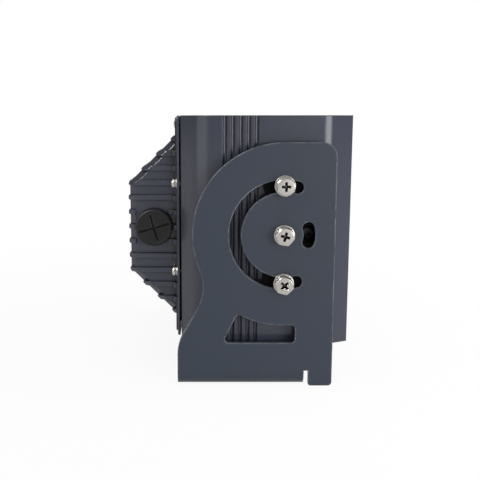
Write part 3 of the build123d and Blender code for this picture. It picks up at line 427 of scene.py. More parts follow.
# Plastics and rubbers: a drifting tone and roughness, a moulded grain, hollows darkened with painted shade and
# grime, and edges lightened as wear and painted highlight where the look has them
def moulded(name, look):
    material, tree, shader = newLook(name)
    texture = placeGroup(tree, grain, **{"Fine Scale": look["grainScale"], "Broad Scale": look["cloudScale"]})
    tone = mixColors(tree, texture.outputs["Cloud"], look["darkColor"], look["lightColor"])
    # Edges lightened: wear, and painted highlights such as the plug's bright slot edges
    if "wearAndHighlightAmount" in look:
        wornAndHighlit = placeGroup(tree, edgeWearAndHighlight, Radius=look["edgeMarkRadius"], Amount=look["wearAndHighlightAmount"])
        tone = mixColors(tree, wornAndHighlit.outputs["Mask"], tone, look["wornAndHighlightColor"])
    # Hollows darkened: painted shade, with some grime
    hollows = placeGroup(tree, grimeAndShade, Distance=look["grimeAndShadeDistance"], Amount=look["grimeAndShadeAmount"])
    tone = mixColors(tree, hollows.outputs["Mask"], tone, look["grimeAndShadeColor"])
    wire(tree, tone, shader.inputs["Base Color"])
    wire(tree, spreadValue(tree, texture.outputs["Cloud"], *look["roughness"]), shader.inputs["Roughness"])
    shader.inputs["Specular IOR Level"].default_value = look["gloss"]
    bumpNormal(tree, shader, texture.outputs["Height"], look["grainStrength"], look["grainDepth"])
    return material


mouldedLooks = {
    # The plug's worn colour paints bright highlights on its slot edges, and its grime colour paints shade in its
    # slots
    "black_plastic": {
        "darkColor": (0.006, 0.006, 0.006),
        "lightColor": (0.011, 0.011, 0.011),
        "wornAndHighlightColor": (0.16, 0.16, 0.155),
        "roughness": (0.52, 0.42),
        "grimeAndShadeColor": (0.001, 0.001, 0.001),
        "grimeAndShadeDistance": 0.0025,
        "grimeAndShadeAmount": 1.0,
        "gloss": 0.22,
        "grainScale": 1500.0,
        "cloudScale": 60.0,
        "grainStrength": 0.4,
        "grainDepth": 0.00006,
        "edgeMarkRadius": 0.0005,
        "wearAndHighlightAmount": 0.7,
    },
    "black_rubber": {
        "darkColor": (0.0025, 0.0025, 0.003),
        "lightColor": (0.005, 0.005, 0.006),
        "roughness": (0.75, 0.62),
        "grimeAndShadeColor": (0.002, 0.002, 0.002),
        "grimeAndShadeDistance": 0.003,
        "grimeAndShadeAmount": 0.7,
        "gloss": 0.03,
        "grainScale": 2200.0,
        "cloudScale": 80.0,
        "grainStrength": 0.5,
        "grainDepth": 0.00008,
    },
    "grey_silicone": {
        "darkColor": (0.40, 0.41, 0.41),
        "lightColor": (0.48, 0.49, 0.49),
        "roughness": (0.6, 0.5),
        "grimeAndShadeColor": (0.2, 0.2, 0.2),
        "grimeAndShadeDistance": 0.002,
        "grimeAndShadeAmount": 0.3,
        "gloss": 0.4,
        "grainScale": 1600.0,
        "cloudScale": 50.0,
        "grainStrength": 0.3,
        "grainDepth": 0.00005,
    },
    "white_plastic": {
        "darkColor": (0.66, 0.66, 0.62),
        "lightColor": (0.75, 0.75, 0.72),
        "wornAndHighlightColor": (0.8, 0.8, 0.78),
        "roughness": (0.5, 0.4),
        "grimeAndShadeColor": (0.3, 0.3, 0.27),
        "grimeAndShadeDistance": 0.002,
        "grimeAndShadeAmount": 0.5,
        "gloss": 0.45,
        "grainScale": 1400.0,
        "cloudScale": 70.0,
        "grainStrength": 0.25,
        "grainDepth": 0.00004,
        "edgeMarkRadius": 0.0004,
        "wearAndHighlightAmount": 0.2,
    },
    "yellow_phosphor": {
        "darkColor": (0.74, 0.52, 0.05),
        "lightColor": (0.84, 0.63, 0.09),
        "roughness": (0.6, 0.45),
        "grimeAndShadeColor": (0.4, 0.26, 0.02),
        "grimeAndShadeDistance": 0.0005,
        "grimeAndShadeAmount": 0.4,
        "gloss": 0.35,
        "grainScale": 3000.0,
        "cloudScale": 400.0,
        "grainStrength": 0.4,
        "grainDepth": 0.00003,
    },
    "white_board": {
        "darkColor": (0.74, 0.75, 0.74),
        "lightColor": (0.80, 0.81, 0.80),
        "wornAndHighlightColor": (0.6, 0.6, 0.58),
        "roughness": (0.34, 0.26),
        "grimeAndShadeColor": (0.4, 0.4, 0.4),
        "grimeAndShadeDistance": 0.002,
        "grimeAndShadeAmount": 0.3,
        "gloss": 0.5,
        "grainScale": 700.0,
        "cloudScale": 30.0,
        "grainStrength": 0.15,
        "grainDepth": 0.00004,
        "edgeMarkRadius": 0.0004,
        "wearAndHighlightAmount": 0.2,
    },
}


# Metals: fine lines along one direction, a drifting roughness, edges brightened as wear and painted highlight, and
# recesses blackened with painted shade and grime
metalHollow = {"Open": 0.92, "Shut": 0.6}


def metal(name, look):
    material, tree, shader = newLook(name)
    texture = placeGroup(
        tree,
        grain,
        **{"Fine Scale": look["lineScale"], "Broad Scale": look["cloudScale"], "Stretch": look["stretch"]},
    )
    tone = mixColors(tree, texture.outputs["Cloud"], look["darkColor"], look["lightColor"])
    # Edges brightened: wear, and painted highlights
    wornAndHighlit = placeGroup(tree, edgeWearAndHighlight, Radius=look["edgeMarkRadius"], Amount=look["wearAndHighlightAmount"])
    tone = mixColors(tree, wornAndHighlit.outputs["Mask"], tone, look["wornAndHighlightColor"])
    # Recesses blackened: painted shade, with some grime
    hollows = placeGroup(
        tree,
        grimeAndShade,
        Distance=look["grimeAndShadeDistance"],
        Amount=look["grimeAndShadeAmount"],
        **metalHollow,
    )
    tone = mixColors(tree, hollows.outputs["Mask"], tone, look["grimeAndShadeColor"])
    wire(tree, tone, shader.inputs["Base Color"])
    wire(tree, spreadValue(tree, texture.outputs["Height"], *look["roughness"]), shader.inputs["Roughness"])
    bumpNormal(tree, shader, texture.outputs["Height"], look["lineStrength"], look["lineDepth"], wornAndHighlit)
    shader.inputs["Metallic"].default_value = 1.0
    return material


# The grime colour blackens the cross recesses as painted shade with some grime; the worn colour brightens edges as
# wear and painted highlight
stainlessLook = {
    "darkColor": (0.40, 0.38, 0.355),
    "lightColor": (0.50, 0.48, 0.455),
    "wornAndHighlightColor": (0.75, 0.74, 0.72),
    "roughness": (0.30, 0.20),
    "grimeAndShadeColor": (0.012, 0.01, 0.009),
    "grimeAndShadeDistance": 0.003,
    "grimeAndShadeAmount": 1.0,
    "lineScale": 1400.0,
    "cloudScale": 120.0,
    "stretch": 0.25,
    "lineStrength": 0.12,
    "lineDepth": 0.00004,
    "edgeMarkRadius": 0.0004,
    "wearAndHighlightAmount": 0.4,
}
metalLooks = {
    "stainless": stainlessLook,
    # Washers: a duller, darker stainless that also paints the shade under the bolt heads
    "dull_shaded_stainless": {
        **stainlessLook,
        "darkColor": (0.30, 0.29, 0.27),
        "lightColor": (0.42, 0.40, 0.38),
        "roughness": (0.38, 0.28),
        "grimeAndShadeDistance": 0.0022,
    },
    "driver_aluminium": {
        "darkColor": (0.52, 0.53, 0.54),
        "lightColor": (0.62, 0.63, 0.64),
        "wornAndHighlightColor": (0.75, 0.75, 0.76),
        "roughness": (0.48, 0.36),
        "grimeAndShadeColor": (0.15, 0.15, 0.15),
        "grimeAndShadeDistance": 0.003,
        "grimeAndShadeAmount": 0.5,
        "lineScale": 1200.0,
        "cloudScale": 20.0,
        "stretch": 0.04,
        "lineStrength": 0.3,
        "lineDepth": 0.00005,
        "edgeMarkRadius": 0.0006,
        "wearAndHighlightAmount": 0.4,
    },
    "plated_steel": {
        "darkColor": (0.50, 0.50, 0.44),
        "lightColor": (0.64, 0.62, 0.55),
        "wornAndHighlightColor": (0.7, 0.7, 0.68),
        "roughness": (0.42, 0.3),
        "grimeAndShadeColor": (0.05, 0.05, 0.04),
        "grimeAndShadeDistance": 0.0015,
        "grimeAndShadeAmount": 0.7,
        "lineScale": 1500.0,
        "cloudScale": 150.0,
        "stretch": 0.3,
        "lineStrength": 0.3,
        "lineDepth": 0.00003,
        "edgeMarkRadius": 0.0003,
        "wearAndHighlightAmount": 0.4,
    },
}


# Glass and clear acrylic: clear, with faint smears in the roughness
def clear(name, look):
    material, tree, shader = newLook(name)
    texture = placeGroup(tree, grain, **{"Fine Scale": look["smearScale"], "Broad Scale": look["cloudScale"]})
    tone = mixColors(tree, texture.outputs["Cloud"], look["darkColor"], look["lightColor"])
    wire(tree, tone, shader.inputs["Base Color"])
    wire(tree, spreadValue(tree, texture.outputs["Cloud"], *look["roughness"]), shader.inputs["Roughness"])
    shader.inputs["Transmission Weight"].default_value = 1.0
    shader.inputs["IOR"].default_value = look["refraction"]
    return material


clearLooks = {
    "clear_glass": {
        "darkColor": (0.90, 0.95, 0.93),
        "lightColor": (0.97, 0.99, 0.98),
        "roughness": (0.0, 0.03),
        "refraction": 1.5,
        "smearScale": 40.0,
        "cloudScale": 18.0,
    },
    "clear_lens": {
        "darkColor": (0.93, 0.94, 0.94),
        "lightColor": (0.98, 0.98, 0.98),
        "roughness": (0.02, 0.07),
        "refraction": 1.49,
        "smearScale": 60.0,
        "cloudScale": 90.0,
    },
}

# Lead insulation: each lead has its own colour from the place across the lamp where that colour starts
leadLook = {
    "colors": ((-0.01, (0.30, 0.012, 0.010)), (0.0, (0.012, 0.012, 0.013))),
    "mainsColors": (
        (0.01, (0.10, 0.035, 0.012)),
        (0.0215, (0.012, 0.05, 0.22)),
        (0.0325, (0.05, 0.30, 0.03)),
    ),
    "roughness": (0.5, 0.4),
    "grainScale": 1800.0,
    "cloudScale": 90.0,
    "grainStrength": 0.2,
    "grainDepth": 0.00003,
}


def leadInsulation(name, look):
    material, tree, shader = newLook(name)
    place = addNode(tree, "ShaderNodeTexCoord")
    across = addNode(tree, "ShaderNodeSeparateXYZ")
    wire(tree, place.outputs["Object"], across.inputs["Vector"])
    texture = placeGroup(tree, grain, **{"Fine Scale": look["grainScale"], "Broad Scale": look["cloudScale"]})
    tone = None
    for start, color in look["colors"] + look["mainsColors"]:
        if tone is None:
            tone = color
            continue
        past = addNode(tree, "ShaderNodeMath", operation="GREATER_THAN")
        past.inputs[1].default_value = start
        wire(tree, across.outputs["Y"], past.inputs[0])
        tone = mixColors(tree, past.outputs["Value"], tone, color)
    wire(tree, tone, shader.inputs["Base Color"])
    wire(tree, spreadValue(tree, texture.outputs["Cloud"], *look["roughness"]), shader.inputs["Roughness"])
    bumpNormal(tree, shader, texture.outputs["Height"], look["grainStrength"], look["grainDepth"])
    return material


print("materials")
looks = {
    "bracket_paint": powderCoat("bracketPaint", bracketLook),
    "body_paint": powderCoat("bodyPaint", bodyLook),
}
for slotName, look in mouldedLooks.items():
    looks[slotName] = moulded(slotName, look)
for slotName, look in metalLooks.items():
    looks[slotName] = metal(slotName, look)
for slotName, look in clearLooks.items():
    looks[slotName] = clear(slotName, look)
looks["lead_insulation"] = leadInsulation("lead_insulation", leadLook)

slotOf = {row["node"]: row["material_slot"] for row in frame["record"]["subparts"]}
for name, node in nodes.items():
    node.data.materials.clear()
    node.data.materials.append(looks[slotOf[name]])


# Turned piece: a ring of points drawn out along a profile of radius and height, as on a lathe
def turnProfile(profile, segments, ring=False):
    clearSelection()
    bpy.ops.mesh.primitive_circle_add(vertices=segments, radius=profile[0][0])
    piece = bpy.context.object
    bpy.ops.object.mode_set(mode="EDIT")
    bpy.ops.mesh.select_mode(type="EDGE")
    bpy.ops.mesh.select_all(action="SELECT")
    bpy.ops.transform.translate(value=(0, 0, profile[0][1]))
    if not ring:
        bpy.ops.mesh.edge_face_add()
    for (radius, height), (nextRadius, nextHeight) in zip(profile, profile[1:]):
        bpy.ops.mesh.extrude_edges_move(TRANSFORM_OT_translate={"value": (0, 0, nextHeight - height)})
        share = nextRadius / radius
        bpy.ops.transform.resize(value=(share, share, 1), center_override=(0, 0, 0))
    if not ring:
        bpy.ops.mesh.edge_face_add()
    bpy.ops.mesh.select_all(action="SELECT")
    bpy.ops.mesh.remove_doubles(threshold=1e-7)
    bpy.ops.mesh.normals_make_consistent(inside=False)
    bpy.ops.object.mode_set(mode="OBJECT")
    return piece


# A block that narrows towards its foot, for cutting slots and recesses below z = 0
def taperedBlock(length, width, depth, endShare, sideShare):
    rise = 0.0004
    clearSelection()
    bpy.ops.mesh.primitive_cube_add(
        size=1,
        location=(0, 0, (rise - depth) / 2),
        scale=(length, width, depth + rise),
    )
    block = bpy.context.object
    bpy.ops.object.transform_apply(location=True, rotation=False, scale=True)
    selectFaces(block, lambda face: face.normal.z < -0.9)
    bpy.ops.transform.resize(value=(endShare, sideShare, 1), center_override=(0, 0, 0))
    bpy.ops.object.mode_set(mode="OBJECT")
    return block


def turnFlat(piece, degreesTurned):
    piece.data.transform(Matrix.Rotation(math.radians(degreesTurned), 4, "Z"))


def liftUp(piece, height):
    piece.data.transform(Matrix.Translation((0, 0, height)))


crossTaper = {"armEnd": 0.5, "armSide": 0.6, "middle": 0.45, "middleTurn": 45}


# Cross recess: two tapered arms and a wider middle, cut below the height given
def cutCross(piece, height, recess, turn):
    depth = recess["depth"]
    across = recess["middle"]
    armShares = (crossTaper["armEnd"], crossTaper["armSide"])
    cross = taperedBlock(recess["length"], recess["width"], depth, *armShares)
    arm = copyPiece(cross)
    turnFlat(arm, 90)
    combine(cross, arm, "UNION")
    middle = taperedBlock(across, across, depth, crossTaper["middle"], crossTaper["middle"])
    turnFlat(middle, crossTaper["middleTurn"])
    combine(cross, middle, "UNION")
    turnFlat(cross, turn)
    liftUp(cross, height)
    combine(piece, cross, "DIFFERENCE")


# One copy for each solid of a node: its outermost face, less the height, is where the copy's z = 0 goes
def standCopies(master, node, height, facing=None, choose=None):
    copies = []
    for low, high in solidBoxes(node):
        middle = (low + high) / 2
        if choose and not choose(middle):
            continue
        out = facing or Vector((0, math.copysign(1, middle.y), 0))
        across = Vector((0, 0, 1)).cross(out)
        reach = max(low.dot(out), high.dot(out))
        twin = copyPiece(master)
        standOn(twin, middle + out * (reach - height - middle.dot(out)), across, out)
        copies.append(twin)
    bpy.data.objects.remove(master)
    return joinPieces(copies)


print("bolts and washers")
hexBolt = {
    "across": 0.013,
    "headHeight": 0.0053,
    "crownRadius": 0.0062,
    "crownAngle": 30.0,
    "crownTurn": 1.1,
    "crownSteps": 96,
    "crownReach": 1.6,
    "overCut": 0.001,
    "edge": 0.00014,
    "edgeSegments": 3,
    "edgeAngle": 12,
    "smoothAngle": 25,
    "cross": {"length": 0.0076, "width": 0.0021, "depth": 0.0034, "middle": 0.0036},
    "shankRadius": 0.004,
    "length": 0.028,
    "plainLength": 0.005,
    "threadPitch": 0.00125,
    "threadDepth": 0.0006,
    "clampBeyond": 0.02,
    "turns": {"upper": (30.0, 0.0), "pivot": (-10.4, -15.0), "lower": (44.5, 45.0)},
}
shankLook = {"steps": 32, "smoothAngle": 25}


# A rod that hangs below z = 0: plain at first, then ridged as a thread
def threadedShank(radius, length, plainLength, pitch, depth):
    profile = [(radius, 0.0), (radius, -plainLength)]
    height = -plainLength
    while height - pitch > -length + pitch:
        profile += [(radius - depth, height - pitch / 2), (radius, height - pitch)]
        height -= pitch
    profile += [(radius - depth, height - pitch / 2), (radius - depth, -length)]
    shank = turnProfile(profile, shankLook["steps"])
    smoothBelow(shank, shankLook["smoothAngle"])
    return shank


# A crowned hexagon head with a cross recess, on a threaded shank. The hexagon stands above the crown, and
# their corners don't line up, so that the cut comes out the same each run.
def makeHexBolt(bolt, hexTurn, crossTurn):
    height = bolt["headHeight"]
    outer = bolt["crownReach"] * bolt["crownRadius"]
    fall = (outer - bolt["crownRadius"]) * math.tan(math.radians(bolt["crownAngle"]))
    clearSelection()
    depth = height + bolt["overCut"]
    bpy.ops.mesh.primitive_cylinder_add(
        vertices=6,
        radius=bolt["across"] / 2 / math.cos(math.pi / 6),
        depth=depth,
        location=(0, 0, depth / 2),
    )
    head = bpy.context.object
    bpy.ops.object.transform_apply(location=True, rotation=False, scale=False)
    crown = turnProfile(
        [(outer, -bolt["overCut"]), (outer, height - fall), (bolt["crownRadius"], height)],
        bolt["crownSteps"],
    )
    turnFlat(crown, bolt["crownTurn"])
    combine(head, crown, "INTERSECT")
    softenEdges(head, bolt["edge"], bolt["edgeSegments"], bolt["edgeAngle"])
    turnFlat(head, 30 + hexTurn)
    cutCross(head, height, bolt["cross"], crossTurn)
    smoothBelow(head, bolt["smoothAngle"])
    shank = threadedShank(
        bolt["shankRadius"],
        bolt["length"],
        bolt["plainLength"],
        bolt["threadPitch"],
        bolt["threadDepth"],
    )
    return joinPieces([head, shank])


made = {}
for place, (hexTurn, crossTurn) in hexBolt["turns"].items():
    node = "pivot_bolts" if place == "pivot" else "clamp_bolts"
    sign = {"upper": 1, "pivot": 0, "lower": -1}[place]
    level = pivot.z + sign * hexBolt["clampBeyond"]
    made[place] = standCopies(
        makeHexBolt(hexBolt, hexTurn, crossTurn),
        node,
        hexBolt["headHeight"],
        choose=lambda middle: sign == 0 or (middle.z - level) * sign > 0,
    )
finishPiece(made["pivot"], "pivot_bolts_dressed", looks["stainless"], "stainless", "head", "pivot_bolts")
clampBolts = joinPieces([made["upper"], made["lower"]])
finishPiece(clampBolts, "clamp_bolts_dressed", looks["stainless"], "stainless", "head", "clamp_bolts")

# Washers: the outer radius, the hole's radius and the thickness
washers = {
    "bolt_flat_washers": (0.008, 0.0042, 0.0016),
    "bolt_spring_washers": (0.0069, 0.0042, 0.002),
    "cover_flat_washers": (0.0044, 0.00215, 0.0008),
    "cover_spring_washers": (0.0035, 0.0021, 0.0011),
}
washerLook = {"steps": 72, "smoothAngle": 35}

# Shares of the washer's thickness, the corner's a share of the upper edge
flatWasher = {"upperEdge": 0.28, "corner": 0.3, "holeEdge": 0.1, "lowerEdge": 0.06}


# Punched from sheet: rounded above, with a small edge below
def makeFlatWasher(outer, inner, thick):
    edge = flatWasher["upperEdge"] * thick
    corner = flatWasher["corner"] * edge
    holeEdge = flatWasher["holeEdge"] * thick
    lowerEdge = flatWasher["lowerEdge"] * thick
    profile = [
        (inner, holeEdge),
        (inner + holeEdge, 0.0),
        (outer - lowerEdge, 0.0),
        (outer, lowerEdge),
        (outer, thick - edge),
        (outer - corner, thick - corner),
        (outer - edge, thick),
        (inner + edge, thick),
        (inner, thick - edge),
        (inner, holeEdge),
    ]
    washer = turnProfile(profile, washerLook["steps"], ring=True)
    smoothBelow(washer, washerLook["smoothAngle"])
    return washer


# The first three are shares of the washer's thickness, the others degrees
springWasher = {"edge": 0.1, "gap": 0.45, "bladeHeight": 3.0, "slant": 28, "turn": 140}


# Coiled from square wire: split by a slanted cut
def makeSpringWasher(outer, inner, thick):
    edge = springWasher["edge"] * thick
    corners = [
        (inner, edge),
        (inner + edge, 0.0),
        (outer - edge, 0.0),
        (outer, edge),
        (outer, thick - edge),
        (outer - edge, thick),
        (inner + edge, thick),
        (inner, thick - edge),
        (inner, edge),
    ]
    washer = turnProfile(corners, washerLook["steps"], ring=True)
    clearSelection()
    bpy.ops.mesh.primitive_cube_add(
        size=1,
        scale=(outer, springWasher["gap"] * thick, springWasher["bladeHeight"] * thick),
    )
    blade = bpy.context.object
    bpy.ops.object.transform_apply(location=True, rotation=False, scale=True)
    blade.data.transform(Matrix.Rotation(math.radians(springWasher["slant"]), 4, "X"))
    blade.data.transform(Matrix.Translation(((outer + inner) / 2, 0, thick / 2)))
    turnFlat(blade, springWasher["turn"])
    combine(washer, blade, "DIFFERENCE")
    smoothBelow(washer, washerLook["smoothAngle"])
    return washer


rearward = Vector((-1, 0, 0))
forward = Vector((1, 0, 0))
# The washers take the darker stainless, which paints the shade under the bolt heads
for node, (outer, inner, thick) in washers.items():
    make = makeSpringWasher if "spring" in node else makeFlatWasher
    facing = rearward if node.startswith("cover") else None
    washer = standCopies(make(outer, inner, thick), node, thick, facing)
    finishPiece(washer, node + "_dressed", looks["dull_shaded_stainless"], "stainless", "head", node)

print("small screws")
panScrews = {
    "cover_screws": {
        "head": 0.004,
        "headHeight": 0.003,
        "shank": 0.002,
        "length": 0.016,
        "facing": rearward,
        "turn": 20.0,
    },
    "bezel_screws": {
        "head": 0.00275,
        "headHeight": 0.002,
        "shank": 0.0015,
        "length": 0.012,
        "facing": forward,
        "turn": 35.0,
    },
    "lens_screws": {
        "head": 0.00275,
        "headHeight": 0.002,
        "shank": 0.0015,
        "length": 0.009,
        "facing": forward,
        "turn": 5.0,
    },
}

# Shares of the head's radius, of its height (lip, wall and recessDepth) and of the shank's radius (pitch and
# threadDepth), then the dome's angles, the points around it and the angle shaded smooth
panHead = {
    "foot": 0.2,
    "underside": 0.97,
    "lip": 0.05,
    "wall": 0.35,
    "crown": 0.4,
    "recessLength": 1.15,
    "recessWidth": 0.26,
    "recessDepth": 0.62,
    "recessMiddle": 0.42,
    "pitch": 0.35,
    "threadDepth": 0.12,
    "angles": (10, 25, 40, 55, 70, 85),
    "steps": 48,
    "smoothAngle": 30,
}


# A domed head with a cross recess on a threaded shank
def makePanScrew(screw):
    head = screw["head"]
    rise = screw["headHeight"]
    wall = panHead["wall"]
    crown = panHead["crown"]
    dome = [(panHead["foot"] * head, 0.0), (panHead["underside"] * head, 0.0)]
    dome += [(head, panHead["lip"] * rise), (head, wall * rise)]
    for degrees in panHead["angles"]:
        angle = math.radians(degrees)
        dome.append(
            (
                head * (crown + (1 - crown) * math.cos(angle)),
                rise * (wall + (1 - wall) * math.sin(angle)),
            )
        )
    piece = turnProfile(dome, panHead["steps"])
    recess = {
        "length": panHead["recessLength"] * head,
        "width": panHead["recessWidth"] * head,
        "depth": panHead["recessDepth"] * rise,
        "middle": panHead["recessMiddle"] * head,
    }
    cutCross(piece, rise, recess, screw["turn"])
    smoothBelow(piece, panHead["smoothAngle"])
    pitch = panHead["pitch"] * screw["shank"]
    depth = panHead["threadDepth"] * screw["shank"]
    shank = threadedShank(screw["shank"], screw["length"], pitch, pitch, depth)
    return joinPieces([piece, shank])


for node, screw in panScrews.items():
    dressed = standCopies(makePanScrew(screw), node, screw["headHeight"], screw["facing"])
    finishPiece(dressed, node + "_dressed", looks["stainless"], "stainless", "head", node)

print("blanking plug")
plug = {
    "radius": 0.015,
    "headHeight": 0.0042,
    "slotWidth": 0.0021,
    "slotDepth": 0.0021,
    "longSlot": 0.0255,
    "shortSlot": 0.0226,
    "turn": 16.2,
    "threadRadius": 0.0125,
    "threadLength": 0.012,
    "threadDepth": 0.0007,
    "threadPitch": 0.0015,
    "threadStop": -0.001,
    "boreRadius": 0.0095,
    "boreMiddle": 0.001,
    "boreTop": -0.0004,
    "footEdge": 0.0003,
    "rim": (
        (0.0, 0.0011),
        (0.0002, 0.0005),
        (0.0006, 0.00015),
        (0.0012, 0.0),
        (0.0019, 0.0001),
        (0.0024, 0.0003),
    ),
    "faceShares": (0.55, 0.2),
    "faceDip": 0.0001,
    "slotShares": (0.96, 0.72),
    "steps": 96,
    "smoothAngle": 30,
}


# A low cap with a raised rim, two crossed slots and a hollow threaded neck. The rim's points are given as
# how far they lie within the radius and below the top.
def makePlug(look):
    radius = look["radius"]
    high = look["headHeight"]
    neck = look["threadRadius"]
    root = neck - look["threadDepth"]
    pitch = look["threadPitch"]
    height = -look["threadLength"]
    bore = look["boreRadius"]
    outerFace, innerFace = look["faceShares"]
    profile = [(look["boreMiddle"], look["boreTop"]), (bore, look["boreTop"]), (bore, height), (root, height)]
    while height + pitch < look["threadStop"]:
        profile += [(neck, height + pitch / 2), (root, height + pitch)]
        height += pitch
    profile += [(root, 0.0), (radius - look["footEdge"], 0.0), (radius, look["footEdge"])]
    profile += [(radius - inward, high - below) for inward, below in look["rim"]]
    profile += [(outerFace * radius, high - look["faceDip"]), (innerFace * radius, high)]
    cap = turnProfile(profile, look["steps"])
    for length, turn in ((look["longSlot"], look["turn"]), (look["shortSlot"], look["turn"] + 90)):
        slot = taperedBlock(length, look["slotWidth"], look["slotDepth"], *look["slotShares"])
        turnFlat(slot, turn)
        liftUp(slot, high)
        combine(cap, slot, "DIFFERENCE")
    smoothBelow(cap, look["smoothAngle"])
    return cap


cap = standCopies(makePlug(plug), "blanking_plug", plug["headHeight"])
finishPiece(cap, "blanking_plug_dressed", looks["black_plastic"], "black_plastic", "head", "blanking_plug")

print("light chips")
chip = {
    "size": 0.005,
    "height": 0.0008,
    "rim": 0.0005,
    "sink": 0.00015,
    "sinkShare": 0.94,
    "swellShare": 0.6,
    "edge": 0.0001,
    "edgeSegments": 1,
    "edgeAngle": 35,
}


# A low block whose phosphor lies sunk within a rim and swells a little in the middle
def makeChip(look):
    clearSelection()
    bpy.ops.mesh.primitive_cube_add(
        size=1,
        location=(0, 0, look["height"] / 2),
        scale=(look["size"], look["size"], look["height"]),
    )
    piece = bpy.context.object
    bpy.ops.object.transform_apply(location=True, rotation=False, scale=True)
    softenEdges(piece, look["edge"], look["edgeSegments"], look["edgeAngle"])
    selectFaces(piece, lambda face: face.normal.z > 0.99)
    bpy.ops.mesh.inset(thickness=look["rim"])
    bpy.ops.mesh.extrude_region_move(TRANSFORM_OT_translate={"value": (0, 0, -look["sink"])})
    bpy.ops.transform.resize(value=(look["sinkShare"], look["sinkShare"], 1), center_override=(0, 0, 0))
    bpy.ops.mesh.inset(thickness=look["rim"])
    bpy.ops.transform.translate(value=(0, 0, look["swellShare"] * look["sink"]))
    bpy.ops.object.mode_set(mode="OBJECT")
    return piece


chips = standCopies(makeChip(chip), "led_emitters", chip["height"], forward)
finishPiece(
    chips,
    "led_emitters_dressed",
    looks["yellow_phosphor"],
    "yellow_phosphor",
    "head",
    "led_emitters",
)

print("floor, lamps and camera")

# The floor shows plain white to the camera, in reflections and through glass: a share of it near the lamp,
# all of it far off
stageLook = {
    "floorSize": 12.0,
    "floorColor": (0.90, 0.90, 0.90),
    "plainNear": 0.92,
    "plainFrom": 0.2,
    "plainTo": 0.75,
    "worldStrength": 0.285,
}

clearSelection()
bpy.ops.mesh.primitive_plane_add(size=stageLook["floorSize"], location=(0, 0, 0))
floor = bpy.context.object
floor.name = "floor"
floorLook = bpy.data.materials.new("floorLook")
floorLook.use_nodes = True
tree = floorLook.node_tree
tree.nodes.clear()
out = addNode(tree, "ShaderNodeOutputMaterial")
matt = addNode(tree, "ShaderNodeBsdfDiffuse")
matt.inputs["Color"].default_value = rgba(stageLook["floorColor"])
plain = addNode(tree, "ShaderNodeEmission")
plain.inputs["Color"].default_value = (1, 1, 1, 1)
path = addNode(tree, "ShaderNodeLightPath")
place = addNode(tree, "ShaderNodeTexCoord")
reach = addNode(tree, "ShaderNodeVectorMath", operation="LENGTH")
fade = addNode(tree, "ShaderNodeMapRange", interpolation_type="SMOOTHSTEP")
setInputs(fade, From_Min=stageLook["plainFrom"], From_Max=stageLook["plainTo"], To_Min=stageLook["plainNear"])
seen = addNode(tree, "ShaderNodeMath", operation="MAXIMUM")
seenAll = addNode(tree, "ShaderNodeMath", operation="MAXIMUM")
amount = addNode(tree, "ShaderNodeMath", operation="MULTIPLY")
mixed = addNode(tree, "ShaderNodeMixShader")
wire(tree, place.outputs["Object"], reach.inputs[0])
wire(tree, reach.outputs["Value"], fade.inputs["Value"])
wire(tree, path.outputs["Is Camera Ray"], seen.inputs[0])
wire(tree, path.outputs["Is Glossy Ray"], seen.inputs[1])
wire(tree, seen.outputs["Value"], seenAll.inputs[0])
wire(tree, path.outputs["Is Transmission Ray"], seenAll.inputs[1])
wire(tree, seenAll.outputs["Value"], amount.inputs[0])
wire(tree, fade.outputs["Result"], amount.inputs[1])
wire(tree, amount.outputs["Value"], mixed.inputs[0])
wire(tree, matt.outputs["BSDF"], mixed.inputs[1])
wire(tree, plain.outputs["Emission"], mixed.inputs[2])
wire(tree, mixed.outputs["Shader"], out.inputs["Surface"])
floor.data.materials.append(floorLook)

world = bpy.data.worlds.new("studio")
bpy.context.scene.world = world
world.use_nodes = True
tree = world.node_tree
tree.nodes.clear()
out = addNode(tree, "ShaderNodeOutputWorld")
soft = addNode(tree, "ShaderNodeBackground")
setInputs(soft, Color=(1, 1, 1, 1), Strength=stageLook["worldStrength"])
white = addNode(tree, "ShaderNodeBackground")
setInputs(white, Color=(1, 1, 1, 1), Strength=1.0)
path = addNode(tree, "ShaderNodeLightPath")
seen = addNode(tree, "ShaderNodeMath", operation="MAXIMUM")
mixed = addNode(tree, "ShaderNodeMixShader")
wire(tree, path.outputs["Is Camera Ray"], seen.inputs[0])
wire(tree, path.outputs["Is Transmission Ray"], seen.inputs[1])
wire(tree, seen.outputs["Value"], mixed.inputs[0])
wire(tree, soft.outputs["Background"], mixed.inputs[1])
wire(tree, white.outputs["Background"], mixed.inputs[2])
wire(tree, mixed.outputs["Shader"], out.inputs["Surface"])

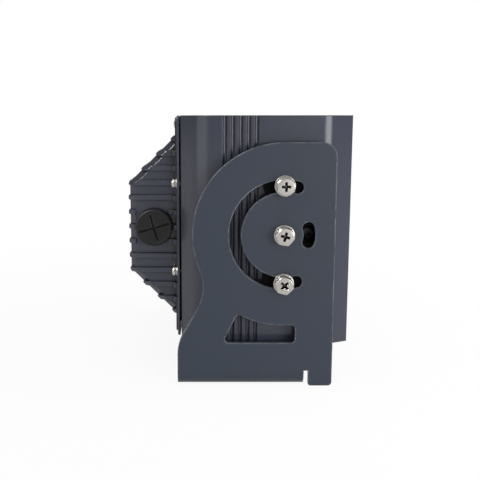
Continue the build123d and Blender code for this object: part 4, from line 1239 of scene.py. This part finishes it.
# Lamps: some only make highlights and some only fill, so that nothing glares off the top in another view
lamps = {
    "rightBox": {"at": (0.80, -1.14, 0.17), "size": (0.66, 0.3), "power": 5.9},
    "fillBox": {"at": (0.70, -1.10, 0.55), "size": (0.8, 0.8), "power": 4.2, "glossy": False},
    "leftBox": {"at": (-1.25, -0.75, 0.45), "size": (0.9, 0.9), "power": 3.2},
    "slopeBox": {"at": (-0.90, -0.82, 1.0), "size": (0.5, 0.42), "power": 32.0, "diffuse": False},
    "frontBox": {"at": (1.3, 0.1, 0.75), "size": (0.7, 0.7), "power": 10.0},
    "nearBox": {"at": (0.3, -1.35, 0.3), "size": (0.35, 0.6), "power": 0.5},
    "farBox": {"at": (0.5, 1.5, 0.7), "size": (1.0, 1.0), "power": 7.0},
    "topBox": {"at": (-0.1, -0.15, 1.35), "size": (0.9, 0.9), "power": 6.0},
}
aim = Vector((0.0, 0.0, 0.12))
for name, lamp in lamps.items():
    data = bpy.data.lights.new(name, "AREA")
    data.shape = "RECTANGLE"
    data.size, data.size_y = lamp["size"]
    data.energy = lamp["power"]
    light = bpy.data.objects.new(name, data)
    light.location = lamp["at"]
    light.visible_diffuse = lamp.get("diffuse", True)
    light.visible_glossy = lamp.get("glossy", True)
    light.rotation_euler = (aim - light.location).to_track_quat("-Z", "Y").to_euler()
    bpy.context.scene.collection.objects.link(light)

# The camera stands where the photo's did: straight at the side, a little above, looking down
view = {
    "place": (-0.0225, -0.6624, 0.2068),
    "pitch": 9.5,
    "focalPixels": 720.0,
    "imagePixels": 480.0,
    "axisPixel": 212.0,
    "sensor": 36.0,
    "nearest": 0.01,
}
cameraData = bpy.data.cameras.new("camera")
camera = bpy.data.objects.new("camera", cameraData)
bpy.context.scene.collection.objects.link(camera)
camera.location = view["place"]
camera.rotation_euler = (math.radians(90 - view["pitch"]), 0, 0)
cameraData.sensor_width = view["sensor"]
cameraData.lens = view["sensor"] * view["focalPixels"] / view["imagePixels"]
cameraData.shift_x = (view["imagePixels"] / 2 - view["axisPixel"]) / view["imagePixels"]
cameraData.clip_start = view["nearest"]
bpy.context.scene.camera = camera

bpy.context.scene.view_settings.view_transform = "Standard"
print("done")
